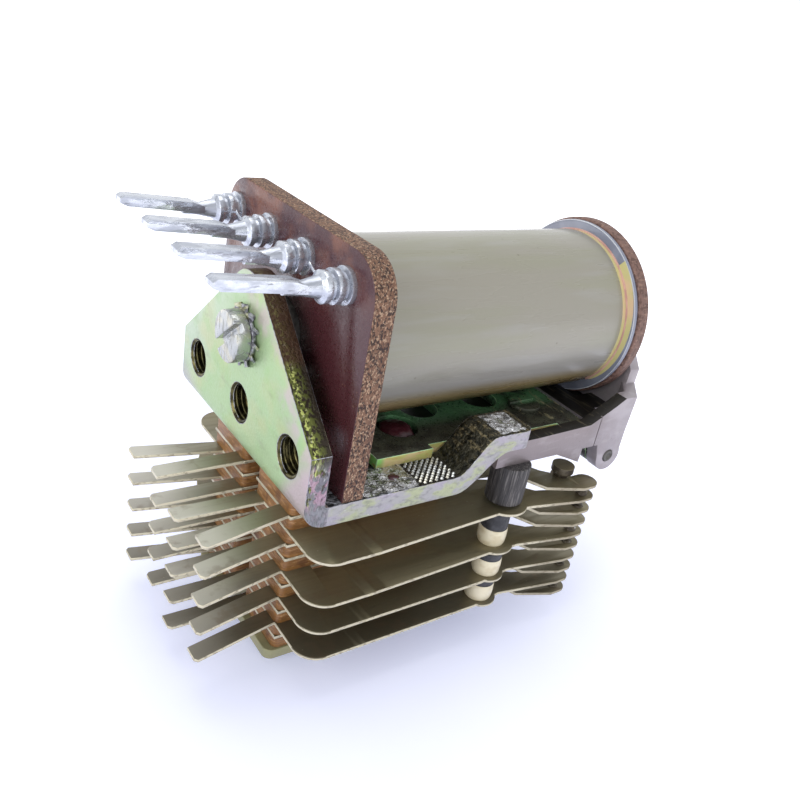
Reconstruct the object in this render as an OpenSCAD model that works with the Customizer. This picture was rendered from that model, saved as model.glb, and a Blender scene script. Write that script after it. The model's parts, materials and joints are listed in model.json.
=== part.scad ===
// Telephone-type relay: one coil, a hinged armature and two pile-ups of leaf springs side by side.
// The origin is the centre of the middle tapped hole, on the rear face of the heelpiece.
// +X runs from the rear to the front along the coil, +Z is up, and the near side is -Y.
// Most outlines are drawn for one side, with u as the distance from the middle plane.

/* [Heelpiece] */
// Thickness of the heelpiece plate
heel_t = 2.4; // [2:0.1:2.8]
// Half width of the heelpiece
heel_half = 16.6; // [16.5:0.1:17.5]
// Distance between neighbouring tapped holes
hole_pitch = 12; // [11:0.5:12.5]
// Diameter of the tapped holes
tap_d = 4.2; // [3.4:0.1:4.4]
// Width of the chamfer ring round a tapped hole
tap_chamfer = 0.3; // [0.2:0.05:0.5]
// From the line of tapped holes down to the top of the base
base_drop = 4; // [3.8:0.1:4.6]
// Outside radius of the bend between flange and base
bend_r = 2.75; // [2.6:0.05:3.2]
// From the line of tapped holes up to the flange's shoulders
shoulder_up = 2.3; // [1.5:0.1:3]
// Radius of the flange's round top
flange_top_r = 4.5; // [4:0.1:5]
// Width of a side rail, from its outer edge
rail_w = 5.3; // [5:0.1:5.4]
// Height that a rail steps up to its stop strip
rail_rise = 4.5; // [4.3:0.1:4.8]
// Length over which a rail's underside rises
rail_slope = 7; // [6:0.2:8]

/* [Coil] */
// From the hinge bracket up to the wrap
coil_clear = 0.35; // [0.2:0.05:0.6]
// Air gap between the flange and the rear spool head
rear_gap = 2.1; // [1.8:0.1:2.5]
// Thickness of the rear spool head
rear_head_t = 2.6; // [2.2:0.1:3]
// How far the rear spool head's sides lie inside the heelpiece's edges
head_inset = 0.1; // [0:0.05:0.6]
// From the wrap up to the top of the rear spool head
rear_head_rise = 2.95; // [2.2:0.05:3.6]
// Radius of the rear spool head's upper corners
head_corner_r = 4.5; // [3:0.1:5.5]
// Length of the wound part that the wrap covers
wound_len = 41.5; // [38:0.1:44]
// Radius over the wrap
wrap_r = 10.75; // [10.2:0.05:10.9]
// Thickness of the wrap
wrap_t = 0.3; // [0.2:0.05:0.5]
// Length of the tape band at the winding's front end
tape_len = 0.8; // [0.6:0.1:2]
// How far the tape band lies inside the wrap's surface
tape_inset = 0.15; // [0.1:0.05:0.3]
// Thickness of the clear washer
washer_t = 0.7; // [0.4:0.05:1]
// How far the clear washer stands out beyond the wrap
washer_lip = 1.25; // [0.8:0.05:1.4]
// Thickness of the front spool head
front_head_t = 1.8; // [1.5:0.1:2.2]
// How far the front spool head stands out beyond the wrap
front_head_lip = 1.55; // [1.3:0.05:1.8]
// Radius of the core
core_r = 4; // [3.5:0.1:4.5]
// Depth of the coil fixing screw in the core
coil_screw_grip = 7; // [5:0.5:9]
// How far the core stands proud of the front spool head
pole_proud = 0.3; // [0.2:0.05:0.5]
// Diameter of the coil fixing screw's thread
coil_screw_d = 3.5; // [3:0.1:4]
// Diameter of the coil fixing screw's head
coil_screw_head_d = 5.8; // [5.2:0.1:6.4]
// Height of the coil fixing screw's head
coil_screw_head_h = 1.7; // [1.4:0.1:2]
// Outside diameter of the lock washer, over its teeth
lock_washer_d = 7; // [6.6:0.1:7.4]
// Thickness of the lock washer
lock_washer_t = 0.6; // [0.4:0.05:0.8]

/* [Terminals] */
// Distance between neighbouring coil terminals
terminal_pitch = 8.3; // [7.8:0.1:8.6]
// Sideways offset of the terminal row from the middle plane
terminal_shift = 1.05; // [0:0.05:1.5]
// From the top of the wrap down to the terminal row
terminal_drop = 0.95; // [0.6:0.05:1.6]
// Length of a terminal behind the rear spool head
terminal_len = 14.1; // [12:0.1:16]
// Diameter of a terminal's largest collar
collar_d = 3.9; // [3.4:0.1:4.4]
// Diameter of a lead wire
lead_d = 0.5; // [0.4:0.05:0.7]

/* [Armature] */
// Thickness of the armature plate
arm_t = 1.8; // [1.6:0.1:2]
// How far the armature's arms lie inside the heelpiece's edges
arm_inset = 1.6; // [1.4:0.05:1.8]
// Radius of the round plate in front of the pole
plate_r = 9.8; // [9:0.1:10.8]
// Angle through which the armature closes, in degrees
close_angle = 2; // [1.4:0.1:2.1]
// Gap left between the closed armature and the pole
residual_gap = 0.1; // [0.05:0.05:0.2]
// Distance from the hinge axis forward to the pole's face
hinge_back = 3.8; // [3.6:0.1:4.2]
// From the top of the base down to the hinge axis
hinge_drop = 3.5; // [3.3:0.1:3.8]
// Diameter of the hinge pin
pin_d = 1.8; // [1.5:0.1:2]
// Radius of the ears round the hinge pin
ear_r = 2.2; // [2:0.1:2.3]
// Rest gap between the arms and the stop strips
stop_gap = 0.2; // [0.1:0.05:0.3]
// Distance from the origin forward to the bushings
bushing_x = 31; // [30:0.1:32]
// Diameter of a bushing
bushing_d = 4.9; // [4.2:0.1:5.1]

/* [Hinge bracket] */
// Thickness of the hinge bracket
bracket_t = 1.3; // [1:0.1:1.4]
// Gap between the bracket's ears and the armature's ears
ear_gap = 0.3; // [0.2:0.05:0.5]
// Distance from the origin forward to the bracket's rear edge
bracket_x = 11.6; // [11:0.1:13]
// Distance between the bracket's two slots along the coil
slot_pitch = 10; // [9:0.1:11]

/* [Pile-ups] */
// Thickness of a leaf spring
blade_t = 0.4; // [0.3:0.05:0.5]
// Thickness of a pad between two springs
pad_t = 1.55; // [1.4:0.05:1.7]
// Thickness of the top pad, under the heelpiece
top_pad_t = 2.9; // [2.6:0.05:3.2]
// Distance from the origin forward to the pads' rear edge
pile_x = 2.3; // [2:0.1:2.8]
// Length of the pads
pile_len = 21.7; // [21:0.1:22]
// From the middle plane out to a pile-up's inner edge
pile_in = 1.7; // [1.4:0.1:2]
// From the middle plane out to a pile-up's outer edge
pile_out = 10.45; // [10.2:0.05:10.5]
// How far the moving springs stand out beyond the heelpiece's edges
strip_proud = 0.8; // [0.4:0.1:1.2]
// Width of a solder tail
tail_w = 2.4; // [2:0.1:2.8]
// How far the solder tails reach behind the origin
tail_back = 8.4; // [7:0.1:10]
// Distance from the origin forward to the springs' contact points
contact_x = 42.9; // [42:0.1:43.4]
// From the moving springs' outer edge in to the contact points
contact_inset = 0.7; // [0.6:0.05:0.9]
// Width of a spring's tip
tip_w = 3; // [2.6:0.1:3.2]
// Thickness of the clamp plates
clamp_t = 1.4; // [1.2:0.1:1.8]
// From the pads' rear edge to the first clamp screws
clamp_first = 5.2; // [4.6:0.1:5.6]
// Distance between the clamp screws along the pads
clamp_pitch = 10.7; // [10:0.1:11.4]
// Diameter of the clamp screws
clamp_screw_d = 2.5; // [2.2:0.1:2.8]
// Outside diameter of the insulating sleeves
sleeve_d = 3.9; // [3.6:0.1:4.2]
// Diameter of the studs' ivory foot
stud_d = 3.8; // [3.4:0.1:4]
// Diameter of the studs' dark top
stud_top_d = 3.5; // [3:0.1:3.7]
// Turn of a moving spring for each degree of the armature
spring_ratio = 0.86; // [0.84:0.01:0.88]

/* [Hidden] */
$fn = 48;
SIDES = ["near", "far"];
PLAIN_NODES = [
    "heelpiece", "hinge_bracket", "bracket_screws", "hinge_pin", "armature",
    "core", "coil_screw", "lock_washer", "rear_spool_head", "front_spool_head",
    "clear_washer", "coil_winding", "coil_tape", "coil_wrap", "coil_terminals", "coil_leads",
    "clamp_screws", "screw_sleeves"
];
SIDE_NODES = ["bushing", "pads", "clamp_plate"];

// Levels of the springs, counted from the top, and what each level holds
MOVING_LEVELS = [2, 5, 7, 9];
FIXED_LEVELS = [1, 3, 4, 6, 8, 10];
level_count = len(MOVING_LEVELS) + len(FIXED_LEVELS);
// A moving spring breaks with the fixed spring above it, or makes with the one below it
BREAK_LEVELS = [2, 5];
MAKE_LEVELS = [2, 5, 7, 9];

// Clearances
seat_gap = 0.05;
pin_gap = 0.05;
split_gap = 0.05;
push_gap = 0.08;
contact_gap = 0.03;
side_gap = 0.3;
strip_gap = 0.55;
over = 1;

// Heights
heel_top = -base_drop;
heel_bottom = heel_top - heel_t;
strip_under = heel_bottom + rail_rise;
coil_z = heel_top + bracket_t + coil_clear + wrap_r;
level_pitch = blade_t + pad_t;
function level_z(k) = heel_bottom - top_pad_t - blade_t / 2 - (k - 1) * level_pitch;
stack_bottom = level_z(level_count) - blade_t / 2 - pad_t;

// Lengths along the coil
rear_head_x = heel_t + rear_gap;
wound_x = rear_head_x + rear_head_t;
tape_x = wound_x + wound_len;
washer_x = tape_x + tape_len;
front_head_x = washer_x + washer_t;
pole_x = front_head_x + front_head_t + pole_proud;
head_bore_r = core_r + seat_gap;
rear_head_half = heel_half - head_inset;
rear_head_up = wrap_r + rear_head_rise;
washer_r = wrap_r + washer_lip;
front_head_r = wrap_r + front_head_lip;

// Hinge and armature
arm_half = heel_half - arm_inset;
hinge_x = pole_x - hinge_back;
hinge_z = heel_top - hinge_drop;
plate_x = pole_x + residual_gap;
arm_top = strip_under - stop_gap;
arm_rear = bushing_x - 3.6;
arm_h = 3.25;
arm_bottom = arm_top - arm_h;
ear_front = hinge_x + ear_r - 0.2;
neck_half = arm_half - (plate_x + arm_t - ear_front);
neck_up = coil_z - 5;
band_top = 1.3;
band_bottom = -3.6;
ear_gap_x = hinge_x - 2.9;
notch_w = 2.9;
notch_top = arm_bottom + 0.05;
arm_heel_z = arm_bottom - 2;
web_t = arm_t;
web_top = arm_top - 0.7;
web_len = 4;
web_in = 6.2;
web_out = neck_half - 1.3;
seam_w = 0.15;
seam_depth = 0.25;

// Bushings and studs
bushing_u = arm_half - arm_t / 2;
bushing_tip_r = 1.2;
bushing_tip_h = 0.4;
// How far each moving spring's push point lies behind and outside the bushing, and the radius of its round pad
PUSH_BACK = [0, 0.6, 1.3, 1.6];
PUSH_OUT = [0, 0.3, 1.3, 1.4];
PUSH_PAD_R = [3.3, 3, 2.45, 2.45];
stud_foot_h = 2.4;

// Moving springs turn where they leave the pile-up
bend_x = 10;
blade_angle = close_angle * spring_ratio;
tip_travel = (contact_x - bend_x) * sin(blade_angle);
break_h = (pad_t - contact_gap) / 2;
make_h = (pad_t - tip_travel - 1.5 * contact_gap) / 2;
contact_r = 0.75;

// Pile-ups
strip_out = heel_half + strip_proud;
contact_out = strip_out - contact_inset;
pile_front = pile_x + pile_len;
pile_mid = (pile_in + pile_out) / 2;
CLAMP_X = [pile_x + clamp_first, pile_x + clamp_first + clamp_pitch];
strip_in = pile_out + strip_gap;
sleeve_hole_r = sleeve_d / 2 + seat_gap;
sleeve_bore_r = clamp_screw_d / 2 + seat_gap;
clamp_head_r = 2.2;
clamp_head_h = 1.5;
slot_w = 0.8;
slot_depth = 0.7;

// Rails and stop strips
strip_end = bushing_x - 0.4;
slope_x = strip_end - rail_slope - 3.3;
slope_top_x = slope_x - 0.5;
slope_top_len = 5.2;
slope_steps = 10;
tongue_half = heel_half - rail_w - side_gap;
tongue_end = hinge_x - 5;

// Bracket
bracket_top = heel_top + bracket_t;
bracket_half = arm_half - arm_t - ear_gap;
bracket_side = bracket_half - 0.95;
bracket_end = ear_gap_x - 1.2;
bracket_ear_x = bracket_end - 4.4;
bracket_screw_x = bracket_end - 5.6;
bracket_screw_u = 6.5;
bracket_screw_r = 1.25;
bracket_head_r = 2.2;
bracket_head_h = 0.55;
SLOT_X = [pile_front - 0.4, pile_front - 0.4 + slot_pitch];
slot_end_r = 2.6;
slot_half = 2.8;

near = SIDES[0];

// Helpers

// Draws on the near side what is drawn for the far side
module to_side(side) {
    mirror([0, side == near ? 1 : 0, 0]) children();
}

// Draws both sides
module both_sides() {
    children();
    mirror([0, 1, 0]) children();
}

// Lays an outline in (Y, Z) across the coil axis at x, t thick
module across(x, t) {
    translate([x, 0, 0]) rotate([90, 0, 90]) linear_extrude(t) children();
}

// Lays an outline in (X, Z) along the coil, from u0 to u1
module along(u0, u1) {
    translate([0, u1, 0]) rotate([90, 0, 0]) linear_extrude(u1 - u0) children();
}

// Lays an outline in (X, Y) flat, with its underside at z
module flat(z, t) {
    translate([0, 0, z]) linear_extrude(t) children();
}

// A rod along the coil's direction
module rod_x(x, len, r, y = 0, z = 0) {
    translate([x, y, z]) rotate([0, 90, 0]) cylinder(h = len, r = r);
}

// A rod across the object, between two distances from the middle plane
module rod_y(u0, u1, r) {
    translate([0, u1, 0]) rotate([90, 0, 0]) cylinder(h = u1 - u0, r = r);
}

// A rectangle with round corners
module rounded(x0, y0, x1, y1, r) {
    translate([x0 + r, y0]) square([x1 - x0 - 2 * r, y1 - y0]);
    translate([x0, y0 + r]) square([x1 - x0, y1 - y0 - 2 * r]);
    for (x = [x0 + r, x1 - r], y = [y0 + r, y1 - r]) translate([x, y]) circle(r = r);
}

// The point where a line from p touches a circle, on the side given by turn
function tangent_point(p, c, r, turn) =
    let (d = norm(p - c), a = atan2(p[1] - c[1], p[0] - c[0]) + turn * acos(r / d))
    c + r * [cos(a), sin(a)];

// A height that rises smoothly from 0 to 1
function smooth(f) = f * f * (3 - 2 * f);

// Heelpiece

module flange_outline() {
    shoulder = [heel_half, shoulder_up];
    top = [0, coil_z + flange_top_r * 0.6];
    touch = tangent_point(shoulder, top, flange_top_r, 1);
    polygon([
        [-heel_half, heel_bottom + bend_r], [heel_half, heel_bottom + bend_r], shoulder, touch, top,
        [-touch[0], touch[1]], [-shoulder[0], shoulder[1]]
    ]);
    translate(top) circle(r = flange_top_r);
}

module heel_bend() {
    intersection() {
        difference() {
            translate([bend_r, heel_bottom + bend_r]) circle(r = bend_r);
            translate([bend_r, heel_bottom + bend_r]) circle(r = bend_r - heel_t);
        }
        translate([0, heel_bottom]) square(bend_r);
    }
}

function rail_curve(x0, len, z) = [
    for (i = [0:slope_steps]) [x0 + len * i / slope_steps, z + rail_rise * smooth(i / slope_steps)]
];

module rail_side() {
    under = rail_curve(slope_x, rail_slope, heel_bottom);
    upper = rail_curve(slope_top_x, slope_top_len, heel_top);
    polygon(concat(
        [[slope_top_x - 1, heel_bottom]],
        under,
        [[strip_end, strip_under], [strip_end, strip_under + heel_t]],
        [for (i = [slope_steps:-1:0]) upper[i]],
        [[slope_top_x - 1, heel_top]]
    ));
}

module base_holes() {
    for (x = CLAMP_X) both_sides() {
        translate([x, pile_mid, heel_bottom - over])
            cylinder(h = heel_t + 2 * over, r = clamp_screw_d / 2 + seat_gap);
    }
    both_sides() {
        translate([bracket_screw_x, bracket_screw_u, heel_bottom - over])
            cylinder(h = heel_t + 2 * over, r = bracket_screw_r + seat_gap);
    }
}

module heelpiece() color("darkkhaki") {
    difference() {
        union() {
            across(0, heel_t) flange_outline();
            along(-heel_half, heel_half) heel_bend();
            flat(heel_bottom, heel_t) translate([bend_r, -heel_half])
                square([slope_top_x - 0.5 - bend_r, 2 * heel_half]);
            flat(heel_bottom, heel_t) translate([bend_r, -tongue_half])
                square([tongue_end - bend_r, 2 * tongue_half]);
            both_sides() along(heel_half - rail_w, heel_half) rail_side();
        }
        for (y = [-hole_pitch, 0, hole_pitch]) {
            rod_x(-over, heel_t + 2 * over, tap_d / 2, y);
            translate([0, y, 0]) rotate([0, 90, 0])
                cylinder(h = tap_chamfer, r1 = tap_d / 2 + tap_chamfer, r2 = tap_d / 2);
        }
        rod_x(-over, heel_t + 2 * over, coil_screw_d / 2 + seat_gap, 0, coil_z);
        base_holes();
    }
}

// Hinge bracket

module bracket_plan() {
    waist_x = slope_top_x - 0.3;
    polygon([
        [bracket_x, -bracket_side], [waist_x, -bracket_side], [waist_x, -tongue_half],
        [strip_end + 0.6, -tongue_half], [strip_end + 0.6, -bracket_side],
        [bracket_ear_x, -bracket_side], [bracket_ear_x, -bracket_half],
        [bracket_end, -bracket_half], [bracket_end, bracket_half],
        [bracket_ear_x, bracket_half], [bracket_ear_x, bracket_side],
        [strip_end + 0.6, bracket_side], [strip_end + 0.6, tongue_half],
        [waist_x, tongue_half], [waist_x, bracket_side], [bracket_x, bracket_side]
    ]);
}

module bracket_ear_side() {
    ear_top = web_top - web_t - 0.45;
    difference() {
        union() {
            polygon([
                [bracket_ear_x, bracket_top], [bracket_end, bracket_top], [bracket_end, ear_top],
                [hinge_x + ear_r, ear_top], [hinge_x + ear_r, hinge_z],
                [hinge_x - ear_r, hinge_z], [hinge_x - ear_r - 0.6, ear_top - 1.4],
                [bracket_ear_x, ear_top - 1.4]
            ]);
            translate([hinge_x, hinge_z]) circle(r = ear_r - 0.1);
        }
        translate([hinge_x, hinge_z]) circle(r = pin_d / 2);
    }
}

module hinge_bracket() color("olivedrab") {
    difference() {
        flat(heel_top, bracket_t) bracket_plan();
        for (x = SLOT_X) translate([0, 0, heel_top - over]) linear_extrude(bracket_t + 2 * over) {
            translate([x - slot_end_r, -slot_half]) square([2 * slot_end_r, 2 * slot_half]);
            for (y = [-slot_half, slot_half]) translate([x, y]) circle(r = slot_end_r);
        }
        both_sides() {
            translate([CLAMP_X[1], pile_mid, heel_top - over])
                cylinder(h = bracket_t + 2 * over, r = slot_end_r);
            translate([bracket_screw_x, bracket_screw_u, heel_top - over])
                cylinder(h = bracket_t + 2 * over, r = bracket_screw_r + seat_gap);
        }
    }
    both_sides() along(bracket_half - bracket_t, bracket_half) bracket_ear_side();
}

module bracket_screws() color("goldenrod") {
    both_sides() translate([bracket_screw_x, bracket_screw_u, 0]) difference() {
        union() {
            translate([0, 0, heel_bottom]) cylinder(h = bracket_top - heel_bottom, r = bracket_screw_r);
            translate([0, 0, bracket_top]) cylinder(h = bracket_head_h, r = bracket_head_r);
        }
        translate([-bracket_head_r - over, -slot_w / 2, bracket_top + bracket_head_h / 2])
            cube([2 * (bracket_head_r + over), slot_w, bracket_head_h]);
    }
}

module hinge_pin() color("silver") {
    translate([hinge_x, 0, hinge_z]) rod_y(-arm_half - 0.15, arm_half + 0.15, pin_d / 2);
}

// Armature

// The bent band in plan, from the ears round both corners and across the front
module band_plan() {
    miter = arm_t * tan(22.5);
    front = plate_x + arm_t;
    rear = ear_front - 1.2;
    polygon([
        [rear, arm_half], [ear_front, arm_half], [front, neck_half], [front, -neck_half],
        [ear_front, -arm_half], [rear, -arm_half], [rear, arm_t - arm_half],
        [ear_front - miter, arm_t - arm_half], [plate_x, miter - neck_half], [plate_x, neck_half - miter],
        [ear_front - miter, arm_half - arm_t], [rear, arm_half - arm_t]
    ]);
}

// The side view of an arm with its ear
module arm_side() {
    ear_rear = hinge_x - ear_r;
    polygon([
        [arm_rear, arm_top], [hinge_x - 14.5, arm_top], [hinge_x - 5.5, arm_top + 0.3],
        [hinge_x - 1.1, band_top - 0.8], [hinge_x + 0.2, band_top], [ear_front, band_top],
        [ear_front, hinge_z + 0.5], [hinge_x + 0.5, hinge_z], [ear_rear, hinge_z],
        [ear_gap_x, notch_top], [ear_gap_x - notch_w, notch_top],
        [ear_gap_x - notch_w - 0.1, arm_heel_z], [ear_gap_x - notch_w - 4.7, arm_bottom],
        [arm_rear, arm_bottom]
    ]);
    translate([hinge_x, hinge_z]) circle(r = ear_r);
}

// Turns its children open about the hinge
module opened() {
    translate([hinge_x, 0, hinge_z]) rotate([0, close_angle, 0])
        translate([-hinge_x, 0, -hinge_z]) children();
}

// The round plate in front of the pole, with the neck that joins it to the band
module front_plate() {
    neck_bottom = band_top - 0.2;
    across(plate_x, arm_t) {
        translate([0, coil_z]) circle(r = plate_r);
        polygon([
            [-neck_half, neck_bottom], [neck_half, neck_bottom], [neck_half, neck_up],
            [plate_r + 0.1, neck_up + 1.8], [plate_r - 0.3, coil_z - 1.4],
            [-plate_r + 0.3, coil_z - 1.4], [-plate_r - 0.1, neck_up + 1.8], [-neck_half, neck_up]
        ]);
    }
}

// The cross piece between the arms, in front of the notches
module web_plan() {
    web_rear = ear_gap_x - 0.4;
    translate([web_rear, -arm_half + arm_t / 2]) square([web_len, 2 * arm_half - arm_t]);
    both_sides() translate([web_rear + web_len - 0.1, web_in])
        square([plate_x + arm_t / 2 - web_rear - web_len, web_out - web_in]);
}

module armature() color("lightgray") {
    difference() {
        union() {
            both_sides() along(arm_half - arm_t, arm_half) arm_side();
            opened() {
                flat(band_bottom, band_top - band_bottom) band_plan();
                front_plate();
            }
            flat(web_top - web_t, web_t) web_plan();
        }
        translate([hinge_x, 0, hinge_z]) rod_y(-arm_half - over, arm_half + over, pin_d / 2 + pin_gap);
        both_sides() translate([ear_gap_x - 0.85, arm_half - seam_depth, notch_top - 0.1])
            cube([seam_w, 2 * seam_depth, arm_h * 2]);
    }
}

module bushing(side) color("dimgray") to_side(side) {
    foot_z = level_z(MOVING_LEVELS[0]) + blade_t / 2 + push_gap;
    translate([bushing_x, bushing_u, foot_z + bushing_tip_h])
        cylinder(h = arm_bottom - foot_z - bushing_tip_h, r = bushing_d / 2);
    translate([bushing_x, bushing_u, foot_z]) cylinder(h = bushing_tip_h, r = bushing_tip_r);
}

// Coil

module core() color("gray") {
    difference() {
        rod_x(heel_t, pole_x - heel_t, core_r, 0, coil_z);
        rod_x(heel_t - over, coil_screw_grip + 2 * over, coil_screw_d / 2 + seat_gap, 0, coil_z);
    }
}

module coil_screw() color("silver") {
    difference() {
        union() {
            rod_x(-lock_washer_t, heel_t + coil_screw_grip + lock_washer_t, coil_screw_d / 2, 0, coil_z);
            rod_x(-lock_washer_t - coil_screw_head_h, coil_screw_head_h, coil_screw_head_d / 2, 0, coil_z);
        }
        translate([-lock_washer_t - coil_screw_head_h - over, -slot_w / 2, coil_z - coil_screw_head_d])
            cube([slot_depth + over, slot_w, 2 * coil_screw_head_d]);
    }
}

module lock_washer() color("lightsteelblue") {
    teeth = 10;
    tooth_w = 0.9;
    body_r = lock_washer_d / 2 - 0.7;
    translate([-lock_washer_t, 0, coil_z]) rotate([0, 90, 0]) difference() {
        union() {
            cylinder(h = lock_washer_t, r = body_r);
            for (i = [0:teeth - 1]) rotate([0, 0, i * 360 / teeth])
                translate([0, -tooth_w / 2, 0]) cube([lock_washer_d / 2, tooth_w, lock_washer_t]);
        }
        translate([0, 0, -over]) cylinder(h = lock_washer_t + 2 * over, r = coil_screw_d / 2 + seat_gap);
    }
}

function terminal_y(i) = (i - 1.5) * terminal_pitch + terminal_shift;
terminal_z = coil_z + wrap_r - terminal_drop;
rivet_r = 1.2;

module rear_spool_head() color("saddlebrown") {
    across(rear_head_x, rear_head_t) difference() {
        union() {
            translate([-rear_head_half, heel_top])
                square([2 * rear_head_half, coil_z + rear_head_up - head_corner_r - heel_top]);
            translate([-rear_head_half + head_corner_r, coil_z])
                square([2 * (rear_head_half - head_corner_r), rear_head_up]);
            for (y = [-1, 1])
                translate([y * (rear_head_half - head_corner_r), coil_z + rear_head_up - head_corner_r])
                    circle(r = head_corner_r);
        }
        translate([0, coil_z]) circle(r = head_bore_r);
        for (i = [0:3]) translate([terminal_y(i), terminal_z]) circle(r = rivet_r + seat_gap);
    }
}

// A ring round the coil axis
module ring(x, t, r, bore) {
    difference() {
        rod_x(x, t, r, 0, coil_z);
        rod_x(x - over, t + 2 * over, bore, 0, coil_z);
    }
}

winding_r = wrap_r - wrap_t - seat_gap;

module front_spool_head() color("sienna") ring(front_head_x, front_head_t, front_head_r, head_bore_r);
module clear_washer() color("lightsteelblue") ring(washer_x, washer_t, washer_r, head_bore_r);
module coil_winding() color("peru") ring(wound_x, wound_len, winding_r, head_bore_r);
module coil_tape() color("khaki") ring(tape_x, tape_len, wrap_r - tape_inset, head_bore_r);
module coil_wrap() color("darkkhaki") ring(wound_x, wound_len, wrap_r, wrap_r - wrap_t);

// Side view of a terminal behind the board, turned about its own axis: collars, then a cone
module terminal_round() {
    r = collar_d / 2;
    rotate([0, -90, 0]) rotate_extrude() polygon([
        [0, -rear_head_t], [rivet_r, -rear_head_t], [rivet_r, 0], [r, 0], [r, 0.5], [r - 0.5, 0.6], [r - 0.5, 1.1],
        [r - 0.15, 1.2], [r - 0.15, 1.8], [r - 0.6, 1.9], [r - 0.6, 2.3], [r - 0.3, 2.4],
        [r - 0.3, 3], [r - 0.8, 3.3], [0.75, 5], [0.6, 7], [0, 7]
    ]);
}

// The flattened tail lies above the terminal's axis and rises a little towards its end
module terminal() {
    tail_t = 1.15;
    tail_across = 1.8;
    tail_x = 4.6;
    flat_x = 6;
    lift = 0.35;
    rise = 0.65;
    end_top = lift + rise + tail_t / 2;
    terminal_round();
    translate([0, tail_across / 2, 0]) rotate([90, 0, 0]) linear_extrude(tail_across) polygon([
        [-tail_x, -0.35], [-flat_x, lift - tail_t / 2], [-terminal_len + 0.8, end_top - tail_t],
        [-terminal_len, end_top - tail_t * 0.7], [-terminal_len, end_top - 0.3], [-terminal_len + 0.5, end_top],
        [-flat_x, lift + tail_t / 2], [-tail_x, 0.45]
    ]);
}

module coil_terminals() color("silver") {
    for (i = [0:3]) translate([rear_head_x, terminal_y(i), terminal_z]) terminal();
}

// A lead runs from one terminal's inner neck to the next one's
lead_x = rear_head_x - 0.85;
lead_clear = collar_d / 2 - 0.5 + lead_d / 2 + seat_gap;
lead_sag = 0.7;
lead_steps = 12;
lead_sides = 8;

function lead_point(i, f) = [
    lead_x,
    terminal_y(i) + lead_clear + f * (terminal_pitch - 2 * lead_clear),
    terminal_z - lead_sag * sin(180 * f)
];
function unit(v) = v / norm(v);
function lead_ring(i, k) =
    let (
        f = k / lead_steps,
        p = lead_point(i, f),
        dir = unit(lead_point(i, f + 0.01) - lead_point(i, f - 0.01)),
        side = unit(cross(dir, [1, 0, 0])),
        up = cross(dir, side)
    )
    [for (j = [0:lead_sides - 1])
        p + lead_d / 2 * (cos(j * 360 / lead_sides) * side + sin(j * 360 / lead_sides) * up)];

module lead(i) {
    n = lead_sides;
    points = [for (k = [0:lead_steps]) each lead_ring(i, k)];
    walls = [for (k = [0:lead_steps - 1], j = [0:n - 1]) each [
        [k * n + j, (k + 1) * n + j, (k + 1) * n + (j + 1) % n],
        [k * n + j, (k + 1) * n + (j + 1) % n, k * n + (j + 1) % n]
    ]];
    first = [for (j = [1:n - 2]) [0, j, j + 1]];
    last = [for (j = [1:n - 2]) [lead_steps * n, lead_steps * n + j + 1, lead_steps * n + j]];
    polyhedron(points, concat(walls, first, last));
}

module coil_leads() color("orange") {
    for (i = [0, 2]) lead(i);
}

// Springs, drawn in plan with u as the distance from the middle plane

module clamp_holes(r) {
    for (x = CLAMP_X) translate([x, pile_mid]) circle(r = r);
}

function outer_tail(side, k) = (k % 2 == 1) == (side == near);

// A solder tail, from its root at the pads out to its tip and back
function tail_points(outer) =
    let (
        root = outer ? pile_out - 0.4 - tail_w / 2 : pile_in + 0.1 + tail_w / 2,
        splay = outer ? 2 : 0,
        bend_at = pile_x - 0.3,
        low = root - tail_w / 2,
        high = root + tail_w / 2,
        cut = 0.4
    )
    [
        [pile_x, high], [bend_at, high], [-tail_back + cut, high + splay], [-tail_back, high + splay - cut],
        [-tail_back, low + splay], [bend_at, low], [pile_x, low]
    ];

// The clamped end of a moving spring: its pad, its tail, and the bridge out to the strip beside the pads
module root_plan(outer) {
    corner_r = 3;
    bridge_x = pile_x + 3.6;
    polygon(concat(
        [
            [pile_x, pile_in], [pile_front, pile_in], [pile_front, pile_out], [bridge_x, pile_out],
            [bridge_x, strip_in], [bend_x, strip_in], [bend_x, strip_out], [pile_x + corner_r, strip_out],
            [pile_x + corner_r, strip_out - corner_r], [pile_x, strip_out - corner_r]
        ],
        tail_points(outer)
    ));
    translate([pile_x + corner_r, strip_out - corner_r]) circle(r = corner_r);
}

tip_r = tip_w / 2;
tip_back = 1.5;

module tip_plan() {
    translate([contact_x + 0.2, contact_out]) circle(r = tip_r);
}

function push_x(i) = bushing_x - PUSH_BACK[i - 1];
function push_u(i) = bushing_u + PUSH_OUT[i - 1];

// The free part of moving spring i: the strip, the round pad at its push point, and the finger to the tip
module free_plan(i) {
    x = push_x(i);
    u = push_u(i);
    pad_back = 2;
    polygon([
        [bend_x + split_gap, strip_in], [x - 1, strip_in], [x + 3.5, strip_in + 0.6],
        [contact_x - 6, contact_out - tip_r - 1.2], [contact_x - tip_back, contact_out - tip_r],
        [contact_x + 0.2, contact_out - tip_r], [contact_x + 0.2, contact_out + tip_r],
        [contact_x - tip_back, contact_out + tip_r], [x + 2.8, strip_out - 0.7],
        [x - pad_back, min(u + 2.3, strip_out)], [bend_x + split_gap, strip_out]
    ]);
    translate([x, u]) circle(r = PUSH_PAD_R[i - 1]);
    tip_plan();
}

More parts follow.
